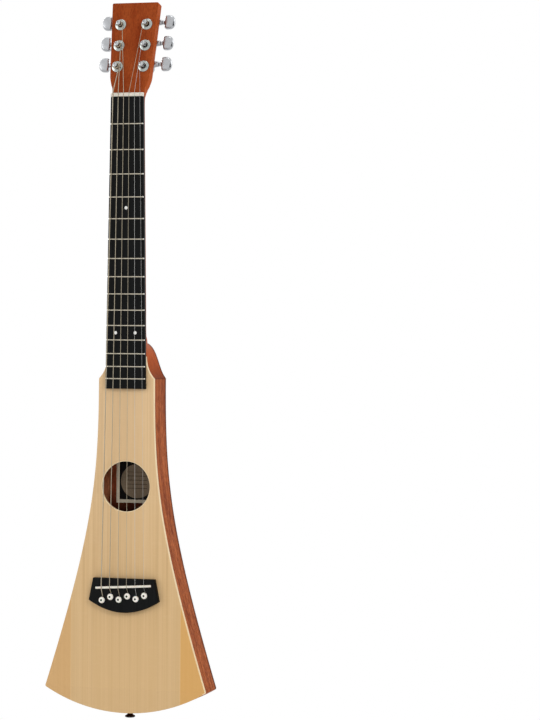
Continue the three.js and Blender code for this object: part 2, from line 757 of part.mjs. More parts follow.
// A ring of the wheel. Each tooth leans with the worm's thread, which twists one face against the other.
function wheelRing(y) {
  const turns = -Math.asin((y - gearY) / wormPitchRadius) / (2 * Math.PI);
  const lean = turns * circularPitch / wheelPitchRadius;
  // Widths of a tooth at its tip and root, as shares of the circular pitch
  const tipShare = 0.24;
  const rootShare = 0.54;
  const corners = [[wheelRootRadius, -rootShare], [wheelTipRadius, -tipShare],
    [wheelTipRadius, tipShare], [wheelRootRadius, rootShare]];
  const ring = [];
  for (let tooth = 0; tooth < wheelTeeth; tooth++) {
    for (const [radius, width] of corners) {
      const middle = Math.PI / 2 + 2 * Math.PI * tooth / wheelTeeth;
      const angle = middle + width * circularPitch / (2 * radius) + lean;
      ring.push(new THREE.Vector3(radius * Math.cos(angle), y, radius * Math.sin(angle)));
    }
  }
  return ring;
}

function postGeometry() {
  const back = gearY + wheelThickness / 2;
  const waistFoot = -washerThickness - postRim;
  const waistHead = -postHoleHeight - 2 * postHoleRadius;
  const post = turned([[0, back + postRim], [postRadius - postRim, back + postRim], [postRadius, back],
    [postRadius, waistFoot], [postWaistRadius, waistFoot - postRim], [postWaistRadius, waistHead + postRim],
    [postRadius, waistHead], [postRadius, postRim - postHeight], [postRadius - postRim, -postHeight],
    [0, -postHeight]]);
  const wheel = loft([wheelRing(back), wheelRing(back - wheelThickness)]);
  const hole = new THREE.CylinderGeometry(postHoleRadius, postHoleRadius, 4 * postRadius, 6)
    .rotateZ(Math.PI / 2).translate(0, -postHoleHeight, 0);
  return cut(joined(post, wheel), hole);
}

// The worm: rows of one thread's section go round in a helix, and each turn's last root meets the next.
function wormGeometry() {
  const steps = wormSteps;
  const rootShare = 0.44;
  const flankShare = 0.17;
  const profile = [[0, wormRootRadius], [rootShare, wormRootRadius],
    [rootShare + flankShare, wormTipRadius], [1 - flankShare, wormTipRadius]];
  const rows = profile.length;
  // A root lies opposite the wheel's tooth, one and three quarter turns on.
  const leadShare = 1.75;
  const start = -(leadShare + rootShare / 2);
  const points = [];
  for (let j = 0; j <= (wormTurns + 1) * steps; j++) {
    const angle = 2 * Math.PI * j / steps;
    for (const [along, radius] of profile) {
      points.push(new THREE.Vector3((start + j / steps + along) * circularPitch,
        radius * Math.cos(angle), radius * Math.sin(angle)));
    }
  }
  const at = (j, k) => (k < rows ? j * rows + k : (j + steps) * rows);
  const index = [];
  for (let j = 0; j < wormTurns * steps; j++) {
    for (let k = 0; k < rows; k++) {
      index.push(at(j, k), at(j + 1, k), at(j + 1, k + 1), at(j, k), at(j + 1, k + 1), at(j, k + 1));
    }
  }
  for (const [end, turn] of [[0, 0], [1, wormTurns * steps]]) {
    const rim = [];
    for (let j = 0; j <= steps; j++) rim.push(at(turn + j, 0));
    for (let k = rows - 1; k > 0; k--) rim.push(at(turn, k));
    const middle = new THREE.Vector3((start + turn / steps + 1 / 2) * circularPitch, 0, 0);
    const hub = points.push(middle) - 1;
    rim.forEach((p, i) => {
      const q = rim[(i + 1) % rim.length];
      index.push(hub, ...(end ? [p, q] : [q, p]));
    });
  }
  const geometry = new THREE.BufferGeometry().setFromPoints(points);
  geometry.setIndex(index);
  return geometry.translate(0, gearY, gearDistance);
}

function buttonGeometry() {
  // Each row gives the place along the button and its size there as shares.
  const bodyShares = [[0, 0.5], [0.16, 0.9], [0.4, 1], [0.85, 0.96], [1, 0.62]];
  const roundShare = 0.7;
  const squarish = (value) => Math.sign(value) * Math.abs(value) ** roundShare;
  const rings = bodyShares.map(([place, size]) => Array.from({ length: smallSides }, (_, i) => {
    const angle = 2 * Math.PI * (i + 1 / 2) / smallSides;
    return new THREE.Vector3(
      buttonReach + buttonLength * place,
      gearY + buttonThickness / 2 * size * squarish(Math.cos(angle)),
      gearDistance + buttonHeight / 2 * size * squarish(Math.sin(angle)));
  }));
  const cavity = wheelTipRadius + gap;
  const collar = armEnd + gap;
  const shaft = turned([[0, -cavity - shaftTipDepth], [shaftTipRadius, -cavity - shaftTipDepth],
    [shaftTipRadius, cavity - housingWall], [shaftRadius, cavity - housingWall], [shaftRadius, collar],
    [shaftCollarRadius, collar], [shaftCollarRadius, buttonReach], [shaftRadius, buttonReach + shaftRadius],
    [0, buttonReach + shaftRadius]]).rotateZ(-Math.PI / 2).translate(0, gearY, gearDistance);
  return joined(shaft, wormGeometry(), loft(rings));
}

// The housing's outline round the wheel and the worm, drawn in by an inset.
function housingRing(y, inset) {
  const half = housingHalf - inset;
  const top = housingTop - inset;
  const chamfer = 2 * housingWall;
  const outline = [[half, top - chamfer], [half - chamfer, top],
    [chamfer - half, top], [-half, top - chamfer]];
  const bowlSteps = 6;
  for (let i = 0; i <= bowlSteps; i++) {
    const angle = Math.PI * (1 + i / bowlSteps);
    outline.push([half * Math.cos(angle), half * Math.sin(angle)]);
  }
  return outline.map(([x, z]) => new THREE.Vector3(x, y, z));
}

function housingGeometry() {
  const front = headstockThickness + glueGap;
  const shell = loft([housingRing(front, 0), housingRing(housingBack - housingBevel, 0),
    housingRing(housingBack, housingBevel)]);
  const lugEnd = -housingHalf - housingLugLength;
  const lugRoot = -housingHalf * Math.SQRT1_2;
  const lugHalf = housingLugTipWidth / 2;
  const lugOutline = [[-lugRoot, lugRoot], [lugHalf, lugEnd + lugHalf / 2], [lugHalf / 2, lugEnd],
    [-lugHalf / 2, lugEnd], [-lugHalf, lugEnd + lugHalf / 2], [lugRoot, lugRoot]];
  const lug = plate(lugOutline.map(([x, z]) => new THREE.Vector2(x, z)), front, front + housingLugThickness);
  const alongShaft = (profile) => turned(profile).rotateZ(-Math.PI / 2)
    .translate(0, gearY, gearDistance);
  const arm = alongShaft([[0, 0], [housingArmRadius, 0], [housingArmRadius, armEnd], [0, armEnd]]);
  const cavity = loft([housingRing(front - overrun, housingWall),
    housingRing(housingBack - housingWall, housingWall)]);
  const inside = housingHalf - housingWall;
  const tip = shaftTipRadius + gap;
  const tipEnd = -inside - shaftTipDepth - gap / 2;
  const bore = alongShaft([[0, tipEnd], [tip, tipEnd], [tip, 0], [shaftRadius + gap, 0],
    [shaftRadius + gap, armEnd + overrun], [0, armEnd + overrun]]);
  const screwHole = new THREE.CylinderGeometry(housingScrewRadius, housingScrewRadius, 2 * housingBack, 6)
    .translate(0, front, lugEnd + lugHalf);
  return cut(joined(shell, lug, arm), cavity, bore, screwHole);
}

function bushingGeometry() {
  const bore = postRadius + gap;
  const edge = washerThickness / 4;
  return turned([[bore, -washerThickness], [bore, bushingDepth], [bushingRadius, bushingDepth],
    [bushingRadius, -glueGap], [washerRadius, -glueGap], [washerRadius, edge - washerThickness],
    [washerRadius - edge, -washerThickness], [bore, -washerThickness]]);
}

// A string: from its ball end up through the bridge, over the saddle and the nut, and round its post.
function stringPoints(i) {
  const radius = stringRadius(i);
  const x = saddleX(i);
  const ballY = bridgePlateBack + gap + ballRadius;
  const ballZ = pinZ(i) + pinTopRadius + gap + ballRadius;
  const rampY = radius + gap - bridgeHeight;
  const points = [
    new THREE.Vector3(x, ballY, ballZ),
    new THREE.Vector3(x, bridgePlateBack + gap, stringHoleZ(i)),
    new THREE.Vector3(x, rampY + radius, stringHoleZ(i)),
    new THREE.Vector3(x, rampY, stringHoleZ(i) + radius),
    new THREE.Vector3(x, rampY, pinZ(i) + pinHeadRadius + gap),
    new THREE.Vector3(x, saddleY(i), saddleZ(x) - saddleThickness / 2),
    new THREE.Vector3(x, saddleY(i), saddleZ(x) + saddleThickness / 2),
    new THREE.Vector3(nutX(i), nutY(i), 0),
    new THREE.Vector3(nutX(i), nutY(i), nutThickness)];
  const { side, x: postX, s: postS } = tunerPlaces[i];
  const leave = points[points.length - 1].clone().sub(new THREE.Vector3(0, 0, bendZ))
    .applyAxisAngle(new THREE.Vector3(1, 0, 0), headstockTilt);
  const reach = postWaistRadius + gap + radius;
  const toPost = new THREE.Vector2(postX - leave.x, postS - leave.z);
  const heading = toPost.angle() + side * Math.asin(reach / toPost.length());
  const pitch = stringDiameters[i] + coilSelfGap;
  const coilTop = postHoleHeight - radius - gap;
  const steps = coilTurns * coilStepsPerTurn;
  for (let k = 0; k <= steps; k++) {
    const angle = heading + side * (Math.PI / 2 - 2 * Math.PI * k / coilStepsPerTurn);
    const height = coilTop - pitch * (coilTurns - k / coilStepsPerTurn);
    points.push(headPlace(postS + reach * Math.sin(angle))(postX + reach * Math.cos(angle), -height));
  }
  return points;
}

// The least gap between turns of a coil, on its points: those more than half a turn apart.
function leastSelfGap(points, diameter) {
  const coil = points.slice(-(coilTurns * coilStepsPerTurn + 1));
  let least = Infinity;
  coil.forEach((a, i) => coil.slice(i + coilStepsPerTurn / 2 + 1).forEach((b) => {
    least = Math.min(least, a.distanceTo(b) - diameter);
  }));
  return least;
}

function stringGeometry(i) {
  const points = stringPoints(i);
  console.log(`string_${stringDiameters.length - i}: least gap between turns ` +
    `${leastSelfGap(points, stringDiameters[i]).toFixed(2)} mm`);
  const ball = new THREE.SphereGeometry(ballRadius, 7, 5).translate(...points[0].toArray());
  return joined(tube(points, stringRadius(i), stringSides), ball);
}

// Finishes: colour, roughness and metalness
const finish = (color, roughness, metalness) => ({ color, roughness, metalness });
const finishes = {
  spruce: finish(0xd0ac7d, 0.45, 0),
  mahogany: finish(0x9c5034, 0.4, 0),
  ebony: finish(0x17181b, 0.45, 0),
  ivory: finish(0xe9e2d0, 0.35, 0),
  pearl: finish(0xd9dcd6, 0.25, 0),
  chrome: finish(0xc9cbcd, 0.22, 1),
  steel: finish(0xb9babb, 0.3, 1),
  bronze: finish(0xb08a5a, 0.35, 1),
  paper: finish(0x3d3f44, 0.8, 0)
};

function sub(name, geometry, slot) {
  const mesh = new THREE.Mesh(closed(geometry), new THREE.MeshStandardMaterial(finishes[slot]));
  mesh.name = name;
  return mesh;
}

// The whole guitar
const guitar = new THREE.Group();

guitar.add(
  sub('neck', neckGeometry(), 'mahogany'),
  sub('fingerboard', fingerboardGeometry(), 'ebony'),
  sub('nut', nutGeometry(), 'ivory'),
  sub('soundboard', soundboardGeometry(), 'spruce'),
  sub('back', backGeometry(), 'mahogany'),
  sub('side_treble', sideGeometry(), 'mahogany'),
  sub('side_bass', mirrored(sideGeometry()), 'mahogany'),
  sub('tail_block', tailBlockGeometry(), 'mahogany'),
  sub('bridge', bridgeGeometry(), 'ebony'),
  sub('saddle', saddleGeometry(), 'ivory'),
  sub('bridge_plate', bridgePlateGeometry(), 'mahogany'));

for (const [name, x, z] of dotPlaces) {
  guitar.add(sub(name, dot(x, z, dotRadius, fingerboardTop(x)), 'pearl'));
}

const liningSpans = {
  front: [insideFront, insideFront + liningDepth],
  back: [insideBack - liningDepth, insideBack]
};
for (const [place, span] of Object.entries(liningSpans)) {
  guitar.add(
    sub(`lining_${place}_treble`, liningGeometry(...span), 'spruce'),
    sub(`lining_${place}_bass`, mirrored(liningGeometry(...span)), 'spruce'));
}

const upperBraceZ = soundholeZ + soundholeRadius + upperBraceFromSoundhole;
const lowerBraceZ = soundholeZ - soundholeRadius - lowerBraceFromSoundhole;
const labelZ = soundholeZ + labelAboveSoundhole;
guitar.add(
  sub('brace_upper', braceGeometry(upperBraceZ, insideFront, braceHeight), 'spruce'),
  sub('brace_lower', braceGeometry(lowerBraceZ, insideFront, braceHeight), 'spruce'),
  sub('brace_back', braceGeometry(shoulderZ - backBraceFromShoulder, insideBack, -braceHeight), 'spruce'),
  sub('label', slab(-labelWidth / 2, labelWidth / 2, labelZ - labelHeight / 2,
    labelZ + labelHeight / 2, insideBack - labelThickness, insideBack), 'paper'),
  sub('strap_button_tail', atTailSeat(strapButtonGeometry()), 'chrome'),
  sub('strap_button_heel', atHeelSeat(strapButtonGeometry()), 'chrome'));

stringDiameters.forEach((diameter, i) => {
  const string = stringDiameters.length - i;
  guitar.add(
    sub(`string_${string}`, stringGeometry(i), i < woundStringCount ? 'bronze' : 'steel'),
    sub(`bridge_pin_${string}`, pinGeometry(i), 'ivory'));
});

const headstock = new THREE.Group();
headstock.position.z = bendZ;
headstock.rotation.x = -headstockTilt;
guitar.add(headstock);

for (const { string, side, x, s } of tunerPlaces) {
  const sided = (geometry) => (side > 0 ? geometry : mirrored(geometry));
  const tuner = new THREE.Group();
  tuner.position.set(x, 0, s);
  tuner.add(
    sub(`tuner_${string}_post`, sided(postGeometry()), 'chrome'),
    sub(`tuner_${string}_button`, sided(buttonGeometry()), 'chrome'),
    sub(`tuner_${string}_housing`, sided(housingGeometry()), 'chrome'),
    sub(`tuner_${string}_bushing`, sided(bushingGeometry()), 'chrome'));
  headstock.add(tuner);
}

export default guitar;
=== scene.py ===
"""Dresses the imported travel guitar. Lengths are millimetres until mesh_data() turns them into metres."""

import math

import bmesh
import bpy
from mathutils import Matrix, Vector
from mathutils.geometry import tessellate_polygon


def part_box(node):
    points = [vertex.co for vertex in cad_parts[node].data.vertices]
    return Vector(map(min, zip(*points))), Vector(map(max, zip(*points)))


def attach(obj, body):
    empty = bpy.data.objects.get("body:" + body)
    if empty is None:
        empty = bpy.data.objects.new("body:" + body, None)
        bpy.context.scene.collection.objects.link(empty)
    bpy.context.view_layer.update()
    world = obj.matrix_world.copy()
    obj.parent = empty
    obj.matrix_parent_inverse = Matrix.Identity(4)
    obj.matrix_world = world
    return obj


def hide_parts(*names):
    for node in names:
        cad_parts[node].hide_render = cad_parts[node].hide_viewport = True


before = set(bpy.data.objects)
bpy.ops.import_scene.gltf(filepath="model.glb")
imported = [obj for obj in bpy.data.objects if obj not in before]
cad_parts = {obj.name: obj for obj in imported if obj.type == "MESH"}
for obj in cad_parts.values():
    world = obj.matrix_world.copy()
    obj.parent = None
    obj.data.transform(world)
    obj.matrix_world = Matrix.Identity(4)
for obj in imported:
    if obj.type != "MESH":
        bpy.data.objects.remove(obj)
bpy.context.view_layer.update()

MM = 0.001
TAU = 2 * math.pi

# The part's own sizes, which the fine pieces share with it. The strings go from thick to thin.
SCALE = 609.6
GAUGES = [1.2, 0.95, 0.75, 0.56, 0.36, 0.25]
STRINGS = range(len(GAUGES))
WOUND = 4
BOARD_THICKNESS, CAMBER_RADIUS = 5.5, 400
NUT_WIDTH, BOARD_END_WIDTH, OVERHANG = 42.9, 53.2, 12.7
NUT_THICKNESS, NUT_PROUD = 5.5, 2.2
FRETS, FRET_WIDTH, FRET_HEIGHT = 15, 1.75, 1.1
TILT = math.radians(12.5)
HEAD_LENGTH, HEAD_THICKNESS, HEAD_TOP, HEAD_WAIST, HEAD_FLARE = 116.8, 14.5, 61.6, 52.4, 22
HEAD_ROUND, BEND_Z = 1.6, 6.5
NECK_DEPTHS = (15.2, 17.6)
HEEL_LENGTH, HEEL_TIP = 39, 24
BODY_DEPTH, BODY_LENGTH = 46, 420.6
SHOULDER_WIDTH, BODY_WIDTH, TAIL_RISE, CORNER_RADIUS = 73.9, 214.05, 29.8, 2.2
SIDE_FLARE = math.radians(17.5)
TOP_THICKNESS, BACK_THICKNESS, SIDE_THICKNESS = 2.8, 2.8, 2.2
HOLE_RADIUS, HOLE_FROM_SHOULDER = 31.5, 135.4
NUT_SPREAD, SADDLE_SPREAD = 35.5, 56.2
BASS_SETBACK, TREBLE_SETBACK = 6.3, 2.9
BRIDGE_HEIGHT, SADDLE_PROUD = 7.5, 3.4
PIN_RADIUS, PIN_SETBACK, PIN_STAGGER = 2.4, 13.8, 1.9
# The gap that pieces which touch keep between them
GAP = 0.3

# Each tuner's number, the side that it is on, and how far up the headstock its post is
TUNERS = [(1, 1, 32.8), (2, 1, 60.4), (3, 1, 88.0), (4, -1, 88.0), (5, -1, 60.4), (6, -1, 32.8)]
POST_X, POST_WAIST = 17.4, 2.6
# The axis of a button's shaft, from its post
GEAR_Y, GEAR_Z = 18.402, 8.26


def fret_z(n):
    return -SCALE * (1 - 2 ** (-n / 12))


SHOULDER_Z = fret_z(FRETS)
BOARD_END_Z = SHOULDER_Z - OVERHANG
TAIL_Z = SHOULDER_Z - BODY_LENGTH
CORNER_Z = TAIL_Z + TAIL_RISE
HOLE_Z = SHOULDER_Z - HOLE_FROM_SHOULDER
FLARE_Z = SHOULDER_Z + 28
BELL_Z = SHOULDER_Z + 44.8
HEEL_Z = BELL_Z + HEEL_LENGTH
# The sides stand between the soundboard's inner face and the back's.
INNER_FRONT = TOP_THICKNESS + 0.05
INNER_BACK = BODY_DEPTH - BACK_THICKNESS - 0.05


def lerp(a, b, t):
    return a + (b - a) * t


def spread(a, b, steps):
    """Numbers in equal steps from a to b, with both ends."""
    return [lerp(a, b, i / steps) for i in range(steps + 1)]


def clamp(t):
    return min(max(t, 0), 1)


def smooth(t):
    t = clamp(t)
    return t * t * (3 - 2 * t)


def bezier(points, t):
    while len(points) > 1:
        points = [lerp(p, q, t) for p, q in zip(points, points[1:])]
    return points[0]


def board_half(z):
    return lerp(NUT_WIDTH / 2, BOARD_END_WIDTH / 2, z / BOARD_END_Z)


def board_top(x):
    return -(BOARD_THICKNESS - x * x / (2 * CAMBER_RADIUS))


def curve_through(points, t):
    """A smooth curve through points, at t from 0 to 1. Each point is a tuple of any length."""
    place = clamp(t) * (len(points) - 1)
    i = min(int(place), len(points) - 2)
    f = place - i
    p0, p1, p2, p3 = (points[min(max(i + k, 0), len(points) - 1)] for k in (-1, 0, 1, 2))
    return tuple(
        0.5 * (2 * b + (c - a) * f + (2 * a - 5 * b + 4 * c - d) * f * f + (3 * b - a - 3 * c + d) * f ** 3)
        for a, b, c, d in zip(p0, p1, p2, p3))


# Materials


def linear(colour):
    """Turns (red, green, blue) levels from 0 to 255 into a shader's colour. A socket stays as it is."""
    if not isinstance(colour, tuple):
        return colour
    shares = [level / 255 for level in colour]
    return tuple(v / 12.92 if v <= 0.04045 else ((v + 0.055) / 1.055) ** 2.4 for v in shares) + (1,)


class Nodes:
    """Short words for the nodes of a tree."""

    def __init__(self, tree):
        self.tree = tree

    def put(self, socket, value):
        if isinstance(value, bpy.types.NodeSocket):
            self.tree.links.new(value, socket)
        else:
            socket.default_value = value

    def node(self, kind, inputs=(), **settings):
        """A new node. inputs fills its sockets in their order, or by the keys of a dict."""
        made = self.tree.nodes.new(kind)
        for key, value in settings.items():
            setattr(made, key, value)
        for key, value in inputs.items() if isinstance(inputs, dict) else enumerate(inputs):
            self.put(made.inputs[key], value)
        return made

    def math(self, kind, *terms):
        return self.node("ShaderNodeMath", terms, operation=kind).outputs[0]

    def hypot(self, a, b):
        return self.math("SQRT", self.math("ADD", self.math("POWER", a, 2.0), self.math("POWER", b, 2.0)))

    def off(self, a, b):
        return self.math("ABSOLUTE", self.math("SUBTRACT", a, b))


class Look(Nodes):
    """A material whose patterns lie in the object's own space. Its colours are levels from 0 to 255."""

    def __init__(self, name):
        self.material = bpy.data.materials.new(name)
        self.material.use_nodes = True
        super().__init__(self.material.node_tree)
        self.shader = self.tree.nodes["Principled BSDF"]
        self.place = self.node("ShaderNodeTexCoord").outputs["Object"]
        self.normal = None

    def set(self, **values):
        for key, value in values.items():
            self.put(self.shader.inputs[key.replace("_", " ")], value)

    def noise(self, scale, detail=2, rough=0.5, distort=0, place=None, turn=(0, 0, 0), shift=(0, 0, 0)):
        spot = self.node("ShaderNodeMapping", {
            "Vector": place or self.place, "Scale": scale, "Rotation": turn, "Location": shift})
        return self.node("ShaderNodeTexNoise", {
            "Vector": spot.outputs["Vector"], "Scale": 1, "Detail": detail, "Roughness": rough,
            "Distortion": distort}).outputs["Fac"]

    def ramp(self, value, *stops):
        made = self.node("ShaderNodeValToRGB", [value])
        elements = made.color_ramp.elements
        while len(elements) < len(stops):
            elements.new(0.5)
        for element, (at, level) in zip(elements, stops):
            element.position = at
            element.color = linear(level) if isinstance(level, tuple) else (level, level, level, 1)
        return made.outputs["Color"]

    def mix(self, share, a, b):
        inputs = {"Factor": share, 6: linear(a), 7: linear(b)}
        return self.node("ShaderNodeMix", inputs, data_type="RGBA").outputs[2]

    def over(self, colour, tint, value, *stops):
        """Lays tint over colour by the share that a ramp of value gives."""
        return self.mix(self.ramp(value, *stops), colour, tint)

    def stain(self, colour, tint, mask, share):
        """Lays tint over colour by a share of mask."""
        return self.mix(self.math("MULTIPLY", mask, share), colour, tint)

    def vary(self, value, middle, width):
        """A number about middle that follows value."""
        return self.math("MULTIPLY_ADD", value, width, middle - width / 2)

    def axis(self, name, place=None):
        return self.node("ShaderNodeSeparateXYZ", [place or self.place]).outputs[name]

    def bump(self, height, depth, strength=1.0):
        """Raises the surface by height, over the bumps that came before."""
        made = self.node("ShaderNodeBump", {"Strength": strength, "Distance": depth, "Height": height})
        if self.normal:
            self.put(made.inputs["Normal"], self.normal)
        self.normal = made.outputs[0]
        self.put(self.shader.inputs["Normal"], self.normal)


def mahogany(name, light, dark, pore, rough, pore_depth, bands, seed, shine, flame=0.0, flecks=0.6, joint=(),
             painted_flank_light=None):
    """Reddish wood: soft ribbons along the grain, short dark pores, a fine fibre and a slanting flame. The
    list of bands gives for each an axis, a place on it, a reach and a depth over which a tint lies, the pore
    colour where
    no tint is given: it holds dark seam lines, painted shade and a paler tint. The flank colour is painted
    light, a lighter colour laid on the faces that turn to the left and right."""
    look = Look(name)
    place = (seed, seed, seed)
    drift = look.noise((14, 14, 5), 1, shift=place)
    push = look.node("ShaderNodeCombineXYZ", [look.vary(drift, 0, 0.012)])
    grain = look.node("ShaderNodeVectorMath", [look.place, push.outputs[0]], operation="ADD").outputs[0]
    ribbon = look.noise(bands, 3, 0.55, 0.4, grain, shift=place)
    colour = look.ramp(ribbon, (0.33, dark), (0.68, light))
    slant = look.noise((60, 120, 60), 3, 0.6, 1.2, grain, turn=(0.5, 0.75, 0.0), shift=(seed, 4, 1))
    colour = look.over(colour, light, slant, (0.45, 0.0), (0.72, flame))
    fleck = look.noise((760, 760, 110), 3, 0.62, 0.6, grain, shift=place)
    colour = look.over(colour, pore, fleck, (0.40, 0.0), (0.66, flecks))
    glow = look.noise((900, 900, 70), 2, 0.6, 0.3, grain, turn=(0.0, 0.12, 0.0), shift=(3, 1, 2))
    colour = look.over(colour, light, glow, (0.5, 0.0), (0.8, 0.28))
    hole = look.noise((2600, 2600, 210), 2, 0.5, 0.2, grain, shift=place)
    pores = look.ramp(hole, (0.60, 0.0), (0.70, 1.0))
    colour = look.stain(colour, pore, pores, 0.5)
    # Painted light: faces that turn to the left and right take the lighter flank colour, streaked by the
    # flame.
    if painted_flank_light:
        facing = look.math("ABSOLUTE", look.axis("X", look.node("ShaderNodeTexCoord").outputs["Normal"]))
        lit_flank = look.over(colour, painted_flank_light, slant, (0.35, 0.4), (0.7, 0.8))
        colour = look.over(colour, lit_flank, facing, (0.5, 0.0), (0.97, 1.0))
    # Bands along an axis: dark seam lines, painted shade and a paler tint, in the pore colour where no tint
    # is given.
    for along, height, reach, depth, *tint in joint:
        away = look.math("DIVIDE", look.off(look.axis(along), height), reach)
        colour = look.over(colour, tint[0] if tint else pore, away, (0.0, depth), (1.0, 0.0))
    rub = look.noise((30, 30, 30), 3, shift=place)
    look.set(Base_Color=colour, Roughness=look.vary(rub, rough, 0.16), Specular_IOR_Level=shine,
             Specular_Tint=(0.90, 0.42, 0.20, 1))
    look.bump(look.math("SUBTRACT", 1.0, pores), pore_depth)
    look.bump(fleck, pore_depth * 0.6, 0.5)
    return look.material


def spruce(name, pale=False):
    """Straight fine growth lines, mirrored about the middle seam, with a wing glued on each side."""
    treble_seam, bass_seam, seam_half = 0.0735, -0.0722, 0.00035
    look = Look(name)
    x, z = look.axis("X"), look.axis("Z")
    book = look.node("ShaderNodeCombineXYZ", [look.math("ABSOLUTE", x), look.axis("Y"), z]).outputs[0]
    broad = look.noise((70, 20, 1.6), 3, 0.5, 0.15, book)
    colour = look.ramp(broad, (0.3, (211, 175, 125)), (0.5, (216, 181, 132)), (0.72, (222, 189, 142)))
    line = look.noise((520, 30, 2.2), 2, 0.5, 0.1, book)
    colour = look.over(colour, (192, 154, 104), line, (0.52, 0.0), (0.66, 0.44))
    colour = look.over(colour, (226, 196, 150), line, (0.30, 0.40), (0.46, 0.0))
    tight = look.noise((1150, 30, 3.5), 2, 0.5, 0.1, book, shift=(3, 2, 1))
    colour = look.over(colour, (190, 156, 112), tight, (0.5, 0.0), (0.68, 0.42))
    fibre = look.noise((2600, 200, 30), 2, 0.6, 0.2, book)
    colour = look.over(colour, (196, 158, 112), fibre, (0.5, 0.0), (0.75, 0.22))
    silk = look.noise((60, 60, 330), 2, 0.5, 1.2, book)
    colour = look.over(colour, (232, 205, 165), silk, (0.55, 0.0), (0.75, 0.10))
    # The wood is a little darker towards the tail and paler towards the neck.
    low = look.math("MULTIPLY_ADD", z, -8.0, -4.6)
    colour = look.over(colour, (212, 177, 128), low, (0.0, 0.0), (1.0, 0.55))
    high = look.math("MULTIPLY_ADD", z, 4.0, 2.5)
    colour = look.over(colour, (232, 200, 160), high, (0.0, 0.0), (1.0, 0.42))
    treble, bass = look.math("GREATER_THAN", x, treble_seam), look.math("LESS_THAN", x, bass_seam)
    colour = look.stain(colour, (216, 162, 86), treble, 0.72)
    colour = look.stain(colour, (206, 158, 98), bass, 0.5)
    for place in (treble_seam, bass_seam):
        seam = look.math("LESS_THAN", look.off(x, place), seam_half)
        colour = look.stain(colour, (232, 200, 150), seam, 0.35)
    if pale:
        colour = look.mix(0.72, colour, (252, 232, 192))
    rub = look.noise((40, 40, 25), 3)
    look.set(Base_Color=colour, Roughness=look.vary(rub, 0.475, 0.15), Specular_IOR_Level=0.22)
    look.bump(line, 0.00004)
    look.bump(fibre, 0.00002, 0.6)
    return look.material


def black_wood(name, rough=0.42):
    look = Look(name)
    streak = look.noise((900, 900, 25), 3, 0.6, 0.3)
    colour = look.ramp(streak, (0.3, (9, 10, 10)), (0.7, (20, 21, 21)))
    dust = look.noise((3200, 3200, 400), 2, 0.6)
    colour = look.over(colour, (40, 41, 41), dust, (0.58, 0.0), (0.72, 0.3))
    wear = look.noise((60, 60, 20), 3)
    look.set(Base_Color=colour, Roughness=look.vary(wear, rough, 0.18), Specular_IOR_Level=0.07)
    look.bump(streak, 0.00003)
    look.bump(dust, 0.00002, 0.6)
    return look.material


def bone(name, colour, rough=0.33):
    look = Look(name)
    cloud = look.noise((90, 90, 90), 4, 0.6)
    tint = look.ramp(cloud, (0.3, tuple(level - 12 for level in colour)), (0.65, colour))
    line = look.noise((500, 500, 60), 2)
    tint = look.over(tint, (205, 190, 158), line, (0.55, 0.0), (0.75, 0.14))
    look.set(Base_Color=tint, Roughness=look.vary(line, rough, 0.14), Subsurface_Weight=0.08,
             Subsurface_Scale=0.001)
    look.bump(line, 0.00001)
    return look.material


def metal(name, colour, rough, width=0.12, scratches=0.5):
    """Plated metal: a cloudy colour and roughness, and hairline marks."""
    look = Look(name)
    cloud = look.noise((300, 300, 300), 3, 0.6)
    hair = look.noise((4000, 320, 2000), 2, 0.7)
    tint = look.ramp(cloud, (0.25, tuple(level * 0.93 for level in colour)), (0.7, colour))
    marks = look.ramp(hair, (0.55, 0.0), (0.8, 0.08 * scratches))
    look.set(Base_Color=tint, Metallic=1.0, Roughness=look.math("ADD", look.vary(cloud, rough, width), marks))
    look.bump(hair, 0.000004, scratches)
    return look.material


def winding(name):
    """Bronze wire wound on a core: fine ribs across the string's run."""
    rib_pitch = 0.00028
    look = Look(name)
    ribs = look.math("SINE", look.math("MULTIPLY", look.axis("Z"), TAU / rib_pitch))
    tarnish = look.noise((400, 400, 40), 3)
    colour = look.ramp(tarnish, (0.3, (182, 172, 150)), (0.7, (202, 193, 173)))
    # Painted shade: the colour darkens in the grooves between the turns of wire.
    colour = look.over(colour, (132, 112, 86), ribs, (0.0, 0.35), (0.6, 0.0))
    look.set(Base_Color=colour, Metallic=0.85, Roughness=look.vary(tarnish, 0.415, 0.15))
    look.bump(ribs, 0.00003)
    return look.material


def plain_wire(name):
    look = Look(name)
    haze = look.noise((600, 600, 30), 3)
    colour = look.ramp(haze, (0.3, (190, 190, 188)), (0.7, (210, 209, 206)))
    look.set(Base_Color=colour, Metallic=0.8, Roughness=look.vary(haze, 0.44, 0.12))
    look.bump(haze, 0.000004)
    return look.material


def pearl(name):
    look = Look(name)
    wave = look.noise((420, 420, 420), 4, 0.6, 2.0)
    colour = look.ramp(wave, (0.3, (214, 222, 220)), (0.5, (244, 243, 236)), (0.7, (226, 220, 230)))
    look.set(Base_Color=colour, Roughness=look.vary(wave, 0.21, 0.1), Coat_Weight=0.5, Coat_Roughness=0.1)
    look.bump(wave, 0.00001)
    return look.material


